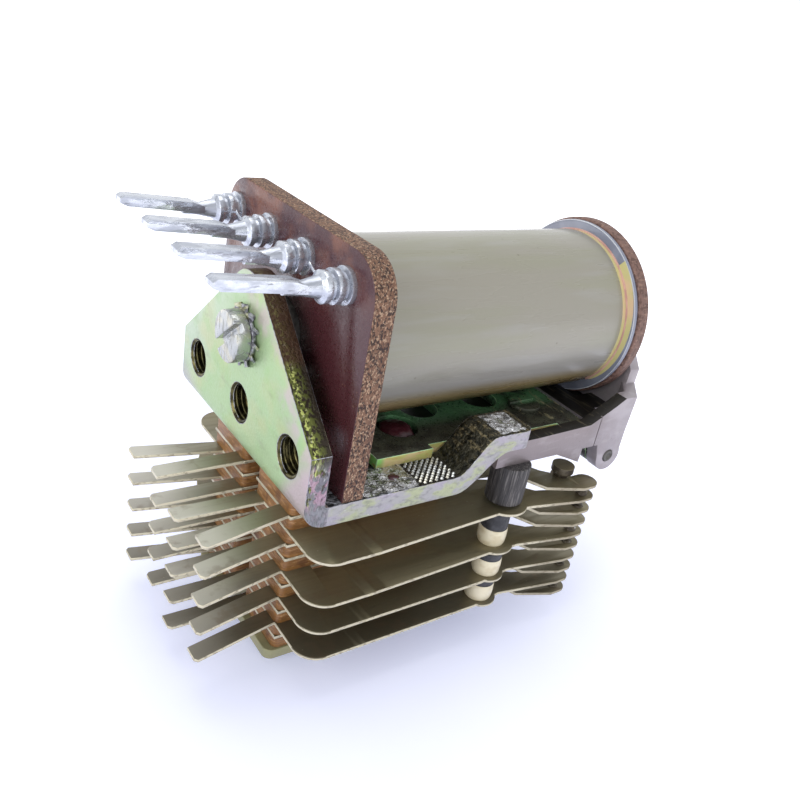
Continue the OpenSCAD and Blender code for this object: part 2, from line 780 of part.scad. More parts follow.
// A fixed spring: its pad, its tail, and a finger that passes inside the studs and then out to the tip
module fixed_plan(outer) {
    finger_out = bushing_u - bushing_d / 2 - 0.55;
    finger_in = pile_mid;
    corner_x = bushing_x + 2.6;
    polygon(concat(
        [
            [pile_x, pile_in], [pile_front, pile_in], [pile_front, finger_in - 1], [corner_x - 2, finger_in],
            [corner_x + 1.5, finger_in + 1.5], [contact_x - 4.5, contact_out - tip_r - 2.6],
            [contact_x - tip_back, contact_out - tip_r], [contact_x + 0.2, contact_out - tip_r],
            [contact_x + 0.2, contact_out + tip_r], [contact_x - tip_back, contact_out + tip_r],
            [corner_x, finger_out], [corner_x - 3, finger_out], [pile_front, pile_out], [pile_x, pile_out]
        ],
        tail_points(outer)
    ));
    tip_plan();
}

// A contact dome on a spring's face, above it for up = 1 and below it for up = -1
module contact(k, up, h) {
    translate([contact_x, contact_out, level_z(k) + up * blade_t / 2]) mirror([0, 0, up < 0 ? 1 : 0]) {
        cylinder(h = h * 0.6, r = contact_r);
        translate([0, 0, h * 0.6]) cylinder(h = h * 0.4, r1 = contact_r, r2 = contact_r * 0.6);
    }
}

// Where the button stands, on a round pad of the top spring's finger
BUTTON_AT = [contact_x - 2.3, contact_out - 2.3];
button_r = 1.5;
button_stem_h = 0.7;
button_head_h = 0.9;

// The round-headed button on the top spring, under the armature's arm
module button() {
    cylinder(h = button_stem_h, r = button_r - 0.5);
    translate([0, 0, button_stem_h]) cylinder(h = button_head_h, r = button_r);
}

module moving_root(side, i) color("darkkhaki") to_side(side) {
    k = MOVING_LEVELS[i - 1];
    flat(level_z(k) - blade_t / 2, blade_t) difference() {
        root_plan(outer_tail(side, k));
        clamp_holes(sleeve_hole_r);
    }
}

module moving_blade(side, i) color("darkkhaki") to_side(side) {
    k = MOVING_LEVELS[i - 1];
    flat(level_z(k) - blade_t / 2, blade_t) free_plan(i);
    if (len(search(k, BREAK_LEVELS)) > 0) contact(k, 1, break_h);
    if (len(search(k, MAKE_LEVELS)) > 0) contact(k, -1, make_h);
}

module fixed_spring(side, i) color("darkkhaki") to_side(side) {
    k = FIXED_LEVELS[i - 1];
    flat(level_z(k) - blade_t / 2, blade_t) difference() {
        union() {
            fixed_plan(outer_tail(side, k));
            if (i == 1) translate(BUTTON_AT) circle(r = button_r - 0.1);
        }
        clamp_holes(sleeve_hole_r);
    }
    if (len(search(k + 1, BREAK_LEVELS)) > 0) contact(k, -1, break_h);
    if (len(search(k - 1, MAKE_LEVELS)) > 0) contact(k, 1, make_h);
    if (i == 1) translate([BUTTON_AT[0], BUTTON_AT[1], level_z(k) + blade_t / 2]) button();
}

// A stud stands on its moving spring and reaches up to the moving spring above
module stud(side, i) to_side(side) {
    z = level_z(MOVING_LEVELS[i - 1]) + blade_t / 2;
    top = level_z(MOVING_LEVELS[i - 2]) - blade_t / 2 - push_gap;
    translate([push_x(i), push_u(i), 0]) {
        color("ivory") translate([0, 0, z]) cylinder(h = stud_foot_h, r = stud_d / 2);
        color("dimgray") translate([0, 0, z + stud_foot_h])
            cylinder(h = top - z - stud_foot_h, r = stud_top_d / 2);
    }
}

module pads(side) color("chocolate") to_side(side) {
    pad_out = pile_out - 0.05;
    for (k = [1:level_count + 1]) {
        bottom = level_z(k) + blade_t / 2;
        t = k == 1 ? top_pad_t : pad_t;
        flat(bottom, t) difference() {
            rounded(pile_x, pile_in, pile_front, pad_out, 0.8);
            clamp_holes(sleeve_hole_r);
        }
    }
}

module clamp_plate(side) color("khaki") to_side(side) {
    flat(stack_bottom - clamp_t, clamp_t) difference() {
        rounded(pile_x - 1, pile_in - 0.2, pile_front + 0.4, pile_out + 0.2, 1.2);
        clamp_holes(clamp_screw_d / 2 + seat_gap);
    }
}

module clamp_screws() color("darkred") {
    bottom = stack_bottom - clamp_t;
    // The rear screws end flush under the spool head, the front ones show in the bracket's openings
    for (x = CLAMP_X, top = heel_top + (x > bracket_x ? bracket_t / 2 : -seat_gap))
    both_sides() translate([x, pile_mid, 0]) difference() {
        union() {
            translate([0, 0, bottom]) cylinder(h = top - bottom, r = clamp_screw_d / 2);
            translate([0, 0, bottom - clamp_head_h]) cylinder(h = clamp_head_h, r = clamp_head_r);
        }
        translate([-clamp_head_r - over, -slot_w / 2, bottom - clamp_head_h - over])
            cube([2 * (clamp_head_r + over), slot_w, slot_depth + over]);
    }
}

module screw_sleeves() color("tan") {
    for (x = CLAMP_X) both_sides() translate([x, pile_mid, stack_bottom + seat_gap]) difference() {
        cylinder(h = heel_bottom - stack_bottom - 2 * seat_gap, r = sleeve_d / 2);
        translate([0, 0, -over]) cylinder(h = heel_bottom - stack_bottom + 2 * over, r = sleeve_bore_r);
    }
}

heelpiece();
hinge_bracket();
bracket_screws();
hinge_pin();
armature();
core();
coil_screw();
lock_washer();
rear_spool_head();
front_spool_head();
clear_washer();
coil_winding();
coil_tape();
coil_wrap();
coil_terminals();
coil_leads();
clamp_screws();
screw_sleeves();
for (s = SIDES) {
    bushing(s);
    pads(s);
    clamp_plate(s);
    for (i = [1:4]) {
        moving_root(s, i);
        moving_blade(s, i);
        if (i > 1) stud(s, i);
    }
    for (i = [1:6]) fixed_spring(s, i);
}
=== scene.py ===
# %% [markdown]
# # A telephone-type relay
#
# One coil lies over a bent steel heelpiece, and two pile-ups of leaf springs below it carry the
# contacts. The construction comes from the CAD frame. This lesson gives each surface its finish,
# rounds the edges that catch the light, and makes the small forms that the CAD leaves out.

import json
import math
import random

import bmesh
import bpy
from mathutils import Matrix, Vector, noise


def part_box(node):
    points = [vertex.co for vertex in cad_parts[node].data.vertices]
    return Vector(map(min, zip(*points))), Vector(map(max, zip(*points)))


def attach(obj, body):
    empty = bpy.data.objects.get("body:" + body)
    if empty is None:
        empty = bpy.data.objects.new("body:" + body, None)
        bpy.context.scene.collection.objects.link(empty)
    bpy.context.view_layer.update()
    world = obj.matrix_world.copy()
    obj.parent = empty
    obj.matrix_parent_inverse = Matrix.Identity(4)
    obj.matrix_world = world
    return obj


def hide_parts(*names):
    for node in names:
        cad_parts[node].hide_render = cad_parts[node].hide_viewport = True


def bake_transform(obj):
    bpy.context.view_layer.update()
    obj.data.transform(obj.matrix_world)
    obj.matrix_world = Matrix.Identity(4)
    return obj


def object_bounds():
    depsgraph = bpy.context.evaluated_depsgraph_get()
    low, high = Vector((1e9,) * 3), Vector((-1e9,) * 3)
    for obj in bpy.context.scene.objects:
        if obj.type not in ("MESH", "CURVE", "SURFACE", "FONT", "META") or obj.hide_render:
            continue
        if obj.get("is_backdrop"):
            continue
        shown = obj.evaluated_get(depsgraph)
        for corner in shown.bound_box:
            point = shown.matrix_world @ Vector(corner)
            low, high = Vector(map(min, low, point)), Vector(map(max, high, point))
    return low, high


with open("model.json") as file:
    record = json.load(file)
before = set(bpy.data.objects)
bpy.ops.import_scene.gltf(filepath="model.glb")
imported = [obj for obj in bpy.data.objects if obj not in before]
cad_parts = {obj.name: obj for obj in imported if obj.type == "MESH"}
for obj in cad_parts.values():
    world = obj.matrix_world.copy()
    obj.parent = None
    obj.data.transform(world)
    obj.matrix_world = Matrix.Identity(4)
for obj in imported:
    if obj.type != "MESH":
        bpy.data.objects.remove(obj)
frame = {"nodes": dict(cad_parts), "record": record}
cad_low, cad_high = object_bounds()
MM = 0.001
SIDES = {"near": -1, "far": 1}
NODES = frame["nodes"]
BODY_OF = {n: b for b, names in frame["record"]["behaviour"]["bodies"].items() for n in names}

# %% [markdown]
# ## The camera
#
# The photograph is taken from behind, from the left and a little above. A camera could be placed by
# eye. This one was fitted to points that can be recognised on the object, so that the render can be
# laid over the photograph and compared.

# %% Place the camera
CAMERA_PLACE = (-37.43, -74.66, 44.77)
CAMERA_TURN = (63.129, -9.737, -34.008)
LENS, SENSOR = 37.178, 36.0


def new_object(name, data):
    """Links a new object for a camera, a light or a mesh, at the origin."""
    made = bpy.data.objects.new(name, data)
    bpy.context.scene.collection.objects.link(made)
    return made


camera = new_object("camera", bpy.data.cameras.new("camera"))
camera.data.lens = LENS
camera.data.sensor_width = SENSOR
camera.data.clip_start = 1 * MM
camera.location = Vector(CAMERA_PLACE) * MM
camera.rotation_euler = [math.radians(a) for a in CAMERA_TURN]
bpy.context.scene.camera = camera
print("camera at", [round(c / MM, 1) for c in camera.location], "mm")

# %% [markdown]
# ## Light
#
# The photograph is bright and soft, as on a white sheet near a large window. A picture of a room
# could light the scene, but a plain sky is enough: white near the horizon, where the camera sees
# it, and dimmer overhead, so that faces that look up aren't washed out. Three large panels give the
# coil, the terminals and the springs their soft glints.

# %% Light the scene
SKY_COLOUR = (0.95, 0.97, 1.0, 1)
SKY_LOW, SKY_HIGH = 1.06, 0.62
SKY_TURNS = (0.4, 0.95)
MIDDLE = (25, 0, -5)
PANELS = (
    ("top_panel", (20, 60, 260), 220, 0.3),
    ("rear_panel", (-220, -60, 120), 160, 0.2),
    ("near_panel", (60, -260, 60), 160, 0.04),
)


def put(tree, socket, value):
    """Links a node's first output or a socket to an input, or gives the input a plain value."""
    if isinstance(value, bpy.types.Node):
        value = value.outputs[0]
    if isinstance(value, bpy.types.NodeSocket):
        tree.links.new(value, socket)
    else:
        socket.default_value = value


def wire(tree, kind, *values, **named):
    """Adds a node. Values go to its first inputs, a name with a capital means the input that is
    called so (_ stands for a space), and any other name a setting."""
    node = tree.nodes.new(kind)
    inputs = dict(enumerate(values))
    for key, value in named.items():
        if key[0].isupper():
            inputs[key.replace("_", " ")] = value
        else:
            setattr(node, key, value)
    for key, value in inputs.items():
        put(tree, node.inputs[key], value)
    return node


def ramp(tree, value, low, high, start=0.0, end=1.0):
    """Maps value from low..high to start..end with soft ends."""
    values = value, low, high, start, end
    return wire(tree, "ShaderNodeMapRange", *values, interpolation_type="SMOOTHSTEP")


bpy.context.scene.view_settings.view_transform = "Standard"
world = bpy.data.worlds.new("tent")
world.use_nodes = True
bpy.context.scene.world = world
tree = world.node_tree
upward = wire(tree, "ShaderNodeSeparateXYZ", wire(tree, "ShaderNodeTexCoord"))
sky = tree.nodes["Background"].inputs
put(tree, sky["Color"], SKY_COLOUR)
put(tree, sky["Strength"], ramp(tree, upward.outputs["Z"], *SKY_TURNS, SKY_LOW, SKY_HIGH))

for name, place, size, power in PANELS:
    light = new_object(name, bpy.data.lights.new(name, "AREA"))
    light.data.size = size * MM
    light.data.energy = power
    light.location = Vector(place) * MM
    aim = (Vector(MIDDLE) - Vector(place)).to_track_quat("-Z", "Y")
    light.rotation_euler = aim.to_euler()
    print(name, "at", place, "mm")

# %% [markdown]
# ## Shared effects
#
# Most finishes need the same few things: a soft mottle, sparse specks, and a band that fades in
# along one direction. They could be wired again in every material. As node groups they are built
# once, and each puts out one mask. They work in millimetres of the object's own coordinates, so
# that a pattern stays on its piece when the piece moves.

# %% Build the shared masks
SOCKET_KINDS = {
    int: "NodeSocketInt", float: "NodeSocketFloat", tuple: "NodeSocketVector",
    bpy.types.Material: "NodeSocketMaterial",
}


def new_tree(name, kind, output, output_kind, **sockets):
    """A node tree with named inputs and one output; returns the tree and its input sockets."""
    tree = bpy.data.node_groups.new(name, kind)
    for label, value in sockets.items():
        settings = {"in_out": "INPUT", "socket_type": SOCKET_KINDS[type(value)]}
        tree.interface.new_socket(label.replace("_", " "), **settings).default_value = value
    tree.interface.new_socket(output, in_out="OUTPUT", socket_type=output_kind)
    return tree, tree.nodes.new("NodeGroupInput").outputs


def mask_group(name, build, **sockets):
    """A shader group that puts out the mask that build(tree, entry) makes."""
    sockets = {"Vector": (0.0, 0.0, 0.0), **sockets}
    tree, entry = new_tree(name, "ShaderNodeTree", "Mask", "NodeSocketFloat", **sockets)
    wire(tree, "NodeGroupOutput", build(tree, entry))
    return tree


def calc(tree, operation, *values):
    """A Math node on one or two numbers or sockets."""
    return wire(tree, "ShaderNodeMath", *values, operation=operation)


def vector_calc(tree, operation, *values):
    return wire(tree, "ShaderNodeVectorMath", *values, operation=operation)


def build_mottle(tree, entry):
    place = vector_calc(tree, "MULTIPLY", entry["Vector"], entry["Grain"])
    values = {"Scale": 1.0, "Detail": entry["Detail"], "Distortion": 0.2}
    cloud = wire(tree, "ShaderNodeTexNoise", place, **values)
    return ramp(tree, cloud, entry["From"], entry["To"])


def build_specks(tree, entry):
    place = vector_calc(tree, "MULTIPLY", entry["Vector"], entry["Grain"])
    cells = wire(tree, "ShaderNodeTexVoronoi", place, Scale=1.0)
    few = wire(tree, "ShaderNodeTexNoise", place, Scale=0.35, Detail=2.0)
    near = ramp(tree, cells, entry["Size"], 0.0)
    return calc(tree, "MULTIPLY", near, ramp(tree, few, entry["From"], entry["To"]))


def build_band(tree, entry):
    along = vector_calc(tree, "DOT_PRODUCT", entry["Vector"], entry["Direction"])
    return ramp(tree, along.outputs["Value"], entry["From"], entry["To"])


EVEN = (1.0, 1.0, 1.0)
MOTTLE = mask_group("Mottle", build_mottle, Grain=EVEN, Detail=3.0, From=0.4, To=0.6)
SPECKS = mask_group("Specks", build_specks, Grain=EVEN, Size=0.4, From=0.45, To=0.6)
BAND = mask_group("Band", build_band, Direction=(0.0, 0.0, 1.0), From=0.0, To=1.0)
print("mask groups:", [g.name for g in (MOTTLE, SPECKS, BAND)])

# %% [markdown]
# ## Writing a finish
#
# A finish is one Principled shader. It could be drawn node by node, but then thirty materials hide
# what sets them apart. So each is a recipe: a base colour, rows of tints through masks, and a
# relief from the same masks, which breaks up the glints as real metal does.

# %% A small recipe book for finishes


def paint(colour):
    """A screen colour, in hex, as the linear colour that a shader takes."""
    parts = [c / 255 for c in bytes.fromhex(colour)]
    return (*[c / 12.92 if c <= 0.04045 else ((c + 0.055) / 1.055) ** 2.4 for c in parts], 1.0)


def mottle(grain, detail, start, end):
    return MOTTLE, grain, detail, start, end


def specks(grain, size, start, end):
    return SPECKS, grain, size, start, end


def band(direction, start, end):
    return BAND, direction, start, end


def mask(tree, described):
    """Places a described mask in a material's tree; one number as grain is the same all ways."""
    group, *values = described
    node = wire(tree, "ShaderNodeGroup", node_tree=group)
    put(tree, node.inputs["Vector"], tree.nodes["place_mm"])
    for socket, value in zip(node.inputs[1:], values):
        even = socket.type == "VECTOR" and not isinstance(value, tuple)
        socket.default_value = (value, value, value) if even else value
    return node


def mixed(tree, share, first, second):
    """The colour output of a Mix node, whose colours are its inputs 6 and 7."""
    node = wire(tree, "ShaderNodeMix", share, data_type="RGBA")
    put(tree, node.inputs[6], first)
    put(tree, node.inputs[7], second)
    return node.outputs[2]


def finish(
    name, colour, metallic, roughness, tints, relief=None, rough=None, metal=None, coat=(0.0, 0.1),
):
    """Builds a material from its recipe.

    tints has rows of a colour, an amount and masks: the colour shows where all the masks are high.
    relief is a depth in mm and a mask, and a negative depth makes pits.
    rough and metal are a low and a high value and a mask that goes from one to the other.
    coat is the coat's weight and roughness.
    """
    material = bpy.data.materials.new(name)
    material.use_nodes = True
    tree = material.node_tree
    shader = tree.nodes["Principled BSDF"].inputs
    place = wire(tree, "ShaderNodeTexCoord").outputs["Object"]
    wire(tree, "ShaderNodeVectorMath", place, Scale=1 / MM, operation="SCALE", name="place_mm")
    tone = paint(colour)
    values = tone, metallic, roughness, *coat
    labels = "Base Color", "Metallic", "Roughness", "Coat Weight", "Coat Roughness"
    for label, value in zip(labels, values):
        put(tree, shader[label], value)
    for colour, amount, first, *others in tints:
        share = mask(tree, first)
        for other in others:
            share = calc(tree, "MULTIPLY", share, mask(tree, other))
        if amount != 1:
            share = calc(tree, "MULTIPLY", share, amount)
        tone = mixed(tree, share, tone, paint(colour))
    put(tree, shader["Base Color"], tone)
    for label, varied in (("Metallic", metal), ("Roughness", rough)):
        if varied:
            low, high, described = varied
            limits = {"To_Min": low, "To_Max": high}
            made = wire(tree, "ShaderNodeMapRange", mask(tree, described), **limits)
            put(tree, shader[label], made)
    if relief:
        height = calc(tree, "MULTIPLY", mask(tree, relief[1]), relief[0])
        bump = wire(tree, "ShaderNodeBump", Strength=1.0, Distance=MM, Height=height)
        put(tree, shader["Normal"], bump)
    print("finish:", name)
    return material


print("a light grey is", paint("b4b4b4"))

# %% [markdown]
# ## Chromate on the heelpiece
#
# Zinc with a yellow chromate shines in thin-film colours. The flange is pale green and yellow in
# the middle, and pink and lilac towards its lower near corner. A real thin film depends on the
# viewing angle. Here the colours are painted as soft patches.

# %% Mix the chromate
fine = mottle(3, 6, 0.3, 0.7)
CHROMATE = finish("chromate_face", "a0b88a", 0.5, 0.36, [
    ("b0bea8", 0.85, band((0, 0.8, 0.6), 5, 14)),
    ("b4b480", 0.5, mottle((0.2, 0.16, 0.16), 3, 0.46, 0.66)),
    ("92b478", 0.5, mottle((0.3, 0.22, 0.3), 4, 0.5, 0.68)),
    ("a4a0a6", 0.75, band((0, 0.55, -0.83), 9, 12.6)),
    ("bea4b0", 0.6, band((0, -0.65, 0.76), 8.4, 11.4), mottle(0.3, 4, 0.42, 0.6)),
    ("ba9cae", 0.7, band((0, -0.8, -0.6), 10.4, 13)),
    ("969278", 0.8, band((0, -0.45, -0.9), 10.6, 12.6)),
    ("848a6c", 0.35, mottle((0.5, 0.35, 0.9), 8, 0.54, 0.76)),
    ("707c62", 0.5, specks(2.2, 0.3, 0.55, 0.68)),
], (0.014, fine), (0.3, 0.44, fine))
# Painted shade: the top of the base under the coil is painted nearly black.
CHROMATE_PAINTED_SHADE = finish("chromate_painted_shade", "262820", 0.5, 0.42, [
    ("3a4a30", 0.6, mottle(0.5, 4, 0.5, 0.7)),
])

# %% Mix the sheared and worn edges
# The bright yellow-green band along the middle of the torn edge, with its pale specks, is a painted
# highlight.
crest_highlight = band((1, 0, 0), 0.2, 0.4), band((-1, 0, 0), -1.3, -0.6)
torn = mottle((2.6, 2.6, 1), 8, 0.42, 0.54)
lower = band((0, 0, -1), -2.6, 0.4)
SHEARED = finish("chromate_sheared", "3a3228", 0.6, 0.4, [
    ("70783a", 0.8, torn, band((-1, 0, 0), -2.2, -1.2)),
    ("ced67c", 1, *crest_highlight, mottle((3.2, 3.2, 0.9), 6, 0.5, 0.58)),
    ("f0f2c4", 1, *crest_highlight, specks((3, 3, 1), 0.5, 0.48, 0.56)),
    ("543c2c", 0.85, band((0, 0, 1), 8.4, 9.4)),
    ("807e86", 0.9, lower, mottle((1.8, 1.8, 1), 7, 0.38, 0.5)),
    ("ba96a6", 0.7, lower, mottle((1.3, 1.3, 1), 7, 0.5, 0.58)),
    ("d8d8d6", 0.8, lower, specks((2.4, 2.4, 1.2), 0.4, 0.48, 0.58)),
    ("88888c", 0.85, band((0, 0, -1), 2.4, 4.6)),
], (0.12, torn))
WORN_EDGE = finish("worn_edge", "a0a0a8", 0.6, 0.34, [
    ("545258", 0.8, mottle(1.9, 8, 0.5, 0.6)),
    ("e2e6f0", 0.9, specks(1.5, 0.45, 0.46, 0.58)),
    ("c8c684", 0.5, mottle(0.5, 4, 0.52, 0.62)),
], (0.08, mottle(2.2, 6, 0.35, 0.65)))

# %% Mix the rails' smooth sides and their crumpled tops
grit = mottle(2.4, 7, 0.35, 0.65)
RAIL_SIDE = finish("rail_side", "a4a2a2", 0.45, 0.46, [
    ("acb480", 0.65, mottle((0.34, 0.34, 0.7), 5, 0.47, 0.6)),
    ("a69cae", 0.6, mottle((0.24, 0.4, 0.7), 4, 0.5, 0.66)),
    ("707072", 0.5, mottle((1.1, 1.1, 2), 9, 0.5, 0.68)),
    ("ced0ce", 0.7, specks((1.2, 1.2, 2.2), 0.24, 0.54, 0.62)),
], (0.03, grit), (0.36, 0.56, grit))
crumples = mottle(1.7, 8, 0.36, 0.64)
slope = band((1, 0, 0), 19.4, 20.6)
RAIL_TOP = finish("rail_top", "96989e", 0.7, 0.32, [
    ("343636", 0.9, mottle(1.2, 8, 0.46, 0.56)),
    ("221c16", 0.95, band((1, 0, 0), 14, 14.8)),
    ("403e32", 0.9, slope),
    ("887c5e", 0.8, band((1, 0, 0), 20.6, 23.6), mottle((3.4, 0.8, 1.2), 7, 0.5, 0.6)),
    ("161814", 0.8, slope, mottle((1.6, 0.9, 0.9), 8, 0.5, 0.6)),
], (0.14, crumples), (0.24, 0.5, crumples))
CRUMPLED = finish("crumpled", "bebec0", 0.8, 0.24, [
    ("424240", 0.85, mottle(1.4, 7, 0.52, 0.6)),
    ("78805c", 0.5, mottle(0.7, 4, 0.54, 0.64)),
], (0.06, mottle(3, 5, 0.35, 0.65)))

# %% [markdown]
# ## Under the coil
#
# The bracket between the rails has the same chromate, but it lies in the coil's shade, under dust
# and grease: nearly black, green where light gets in, with a bright yellow edge beside the rail.
# Light could do all of it, but the photograph's shade is deeper, so it is painted on as well.

# %% Mix the bracket's finishes
fleck = mottle(2.5, 6, 0.35, 0.65)
lit = band((0, 1, 0), -8, -4.5), band((0, -1, 0), -6.5, -3)
BRACKET_TOP = finish("bracket_top", "4c4e42", 0.3, 0.38, [
    ("2c2a28", 0.7, mottle(0.5, 5, 0.42, 0.6)),
    ("70ac78", 0.8, *lit, mottle(0.2, 3, 0.36, 0.56)),
    ("b0a884", 0.6, band((1, 0, 0), 31, 33), mottle((1.9, 0.5, 0.6), 5, 0.6, 0.67)),
], (0.03, fleck), (0.26, 0.46, fleck))
BRACKET_EDGE = finish("bracket_edge", "d8c48e", 0.2, 0.42, [
    ("c4c670", 0.8, mottle((0.3, 0.6, 0.9), 4, 0.47, 0.58)),
    ("84ce68", 0.9, band((-1, 0, 0), -12.9, -12)),
    ("c4925c", 0.6, mottle((0.5, 0.5, 1.5), 5, 0.54, 0.66)),
])
# Painted highlight: the rims of the slots lie in the coil's shade and are painted bright green, as
# the light they catch.
SLOT_RIM_HIGHLIGHT = finish("slot_rim_highlight", "c4f4ba", 0, 0.4, [
    ("bed6aa", 0.7, mottle(0.6, 4, 0.5, 0.64)),
    ("54704c", 0.6, mottle(0.35, 4, 0.48, 0.6)),
])
lump = mottle(1.4, 3, 0.3, 0.7)
RED_LACQUER = finish("red_lacquer", "421420", 0, 0.45, [
    ("240c12", 0.8, mottle(0.9, 4, 0.46, 0.66)),
], (0.05, lump), (0.3, 0.5, lump), coat=(0.12, 0.3))

# %% [markdown]
# ## Boards
#
# The spool heads are paper laminate. Pressed faces are smooth and maroon, cut edges are lighter
# brown, and torn fibres leave dark pits. A picture of laminate would stretch over the corners. The
# grain is a mottle drawn out along the layers, which is solid all through the board.

# %% Mix the laminate
pore = mottle(3, 6, 0.35, 0.65)
LAMINATE_FACE = finish("laminate_face", "422024", 0, 0.36, [
    ("7a4c38", 0.8, band((0, 0.3, 0.95), 9, 21), mottle((0.22, 0.18, 0.22), 4, 0.4, 0.62)),
    ("341a20", 0.7, band((0, 0.55, -0.83), -9, 6)),
    ("967864", 0.8, specks(1.9, 0.22, 0.56, 0.66)),
], (0.012, pore), (0.24, 0.4, pore), coat=(0.15, 0.25))
pit = mottle((5, 3.6, 3), 9, 0.5, 0.58)
LAMINATE_EDGE = finish("laminate_edge", "745440", 0, 0.72, [
    ("624232", 0.6, mottle((0.7, 0.5, 0.35), 6, 0.42, 0.6)),
    ("241412", 0.9, pit),
    ("ba9c80", 0.7, mottle((6, 5, 3.6), 6, 0.54, 0.62)),
], (-0.05, pit))
grain = mottle((2.6, 1.6, 1.6), 8, 0.48, 0.6)
FRONT_BOARD = finish("front_board", "74584e", 0, 0.62, [
    ("4e362e", 0.75, grain),
    ("967868", 0.6, mottle((1, 3, 3), 5, 0.54, 0.66)),
], (-0.04, grain))

# %% [markdown]
# ## Coil
#
# A satin varnished sleeve covers the winding. It is beige with a green cast, with faint streaks
# along the coil, and browner underneath. The washer is a clear film that looks blue-grey. A glass
# shader would need the wire and tape behind it to be exact, so its colour is painted, and the cream
# tape behind it is laid on as a crescent.

# %% Mix the sleeve, the washer and the tape
wave = mottle((0.07, 0.5, 0.5), 3, 0.3, 0.7)
SLEEVE = finish("sleeve", "8e8a7e", 0, 0.32, [
    ("8a8a74", 0.5, mottle((0.04, 0.3, 0.3), 4, 0.44, 0.66)),
    ("96948e", 0.5, mottle((0.06, 0.5, 0.5), 5, 0.5, 0.7)),
    ("888686", 0.6, band((0, 0, -1), -9, -4)),
    ("847040", 0.8, band((0, 0, -1), -4.4, -1.8)),
    ("5c4a28", 0.8, band((0, 0, -1), -1.9, -0.2)),
    ("463a28", 0.6, specks(0.5, 0.12, 0.55, 0.62)),
], (0.03, wave), (0.24, 0.38, wave), coat=(0.18, 0.12))
CLEAR_FILM = finish("clear_film", "787c8c", 0, 0.16, [
    ("8e92a2", 0.6, mottle((0.2, 0.25, 0.25), 3, 0.45, 0.65)),
], coat=(0.7, 0.06))
TAPE = finish("tape", "c4bc84", 0, 0.4, [
    ("e2b2a0", 0.5, mottle((1, 0.2, 0.2), 3, 0.5, 0.64)),
], coat=(0.4, 0.1))
PINK_LINE = finish("pink_line", "be928e", 0, 0.35, [
    ("deb8aa", 0.6, mottle(0.5, 3, 0.4, 0.6)),
], coat=(0.4, 0.1))
# Painted highlight: the clear film's cut rim is painted pale, as the light it catches.
WASHER_RIM_HIGHLIGHT = finish("washer_rim_highlight", "c4c8d0", 0, 0.2, [
    ("a0a6b6", 0.6, mottle(0.3, 3, 0.45, 0.65)),
], coat=(0.5, 0.1))
turns = mottle((6, 0.1, 0.1), 2, 0.4, 0.6)
MAGNET_WIRE = finish("magnet_wire", "965430", 0.7, 0.35, [
    ("c4784c", 0.6, turns),
], (0.06, turns))

# %% [markdown]
# ## Metals and mouldings
#
# Solder on the terminals is nearly white. The armature is dull nickel with a pink cast, and the
# leaf springs are nickel silver: olive grey on their rolled faces, cream on the sheared edges. One
# finish could do for all springs, and the light for their shade. But the shade is painted on as
# well: bands darken the lower springs and the strips in front of the tails as painted shade, and
# lighten the tails as painted light.

# %% Mix the metals
dull = mottle((0.35, 0.9, 0.9), 5, 0.42, 0.62)
SOLDER = finish("solder", "ccd0d8", 0.8, 0.26, [
    ("a0a4b0", 0.6, dull),
    ("606068", 0.5, mottle((0.5, 2.4, 2.4), 6, 0.6, 0.68)),
], (0.03, mottle((0.6, 1.4, 1.4), 3, 0.3, 0.7)), (0.18, 0.36, dull))
scar = mottle((0.8, 2.6, 0.5), 7, 0.5, 0.62)
PLATED_SCREW = finish("plated_screw", "b0b2b0", 0.85, 0.3, [
    ("787872", 0.45, scar),
    ("cec8b0", 0.5, mottle(0.6, 3, 0.5, 0.66)),
], (0.02, scar), (0.22, 0.46, scar))
cloud = mottle((0.22, 0.3, 0.4), 4, 0.38, 0.66)
DULL_NICKEL = finish("dull_nickel", "a49da1", 0.45, 0.44, [
    ("867c7d", 0.9, band((-1, 0, 0), -47, -43)),
    ("887f81", 0.4, cloud),
    ("b0aaaa", 0.35, mottle((0.3, 0.4, 0.9), 6, 0.5, 0.72)),
    ("5a4c4a", 0.4, specks(1.1, 0.16, 0.52, 0.6)),
], (0.014, mottle(2.2, 6, 0.3, 0.7)), (0.38, 0.5, cloud))
# Painted shade: the armature's faces under the coil are painted nearly black.
NICKEL_PAINTED_SHADE = finish("nickel_painted_shade", "282624", 0.5, 0.4, [
    ("6c6654", 0.8, mottle((1.9, 0.25, 0.6), 5, 0.57, 0.66)),
])
DARK_STEEL = finish("dark_steel", "62605c", 0.8, 0.42, [
    ("3c3834", 0.7, mottle(0.8, 5, 0.42, 0.62)),
], (0.02, mottle(3, 5, 0.3, 0.7)))
THREAD_GOLD = finish("thread_gold", "605a38", 0.85, 0.24, [
    ("1e1c12", 0.85, mottle(0.9, 5, 0.4, 0.6)),
])

# %% Mix the springs' nickel silver
roll = mottle((0.05, 1.6, 1.6), 5, 0.4, 0.64)
tails = band((-1, 0, 0), 0.5, 7.5)
SPRING_FACE = finish("spring_face", "9c9886", 0.7, 0.42, [
    ("8a8470", 0.35, roll),
    # Painted light and shade: the tails are paler, the strips darker from the pile-up forward, and
    # the lower springs darker still.
    ("847a5c", 0.8, band((1, 0, 0), -3, 6)),
    ("ccc8be", 0.85, tails),
    ("666052", 0.75, band((0, 0, -1), 13, 28)),
    ("80705c", 0.4, mottle(0.5, 5, 0.54, 0.7)),
    ("cec8b4", 0.7, specks(1.6, 0.16, 0.58, 0.66)),
], (0.006, roll), (0.36, 0.5, roll), (0.7, 0.3, tails))
nick = mottle((1.4, 1.4, 3), 6, 0.52, 0.66)
SPRING_EDGE = finish("spring_edge", "ccc4ac", 0.4, 0.4, [
    ("968c76", 0.75, band((1, 0, 0), 35, 38.5)),
    ("786c58", 0.6, nick),
], (-0.02, nick))
CONTACT = finish("contact_metal", "5c5446", 0.6, 0.4, [
    ("362e28", 0.8, mottle(0.9, 5, 0.42, 0.6)),
    # The pale specks on the dark contacts are painted glints.
    ("ceccc6", 0.8, specks(1.2, 0.3, 0.52, 0.6)),
])

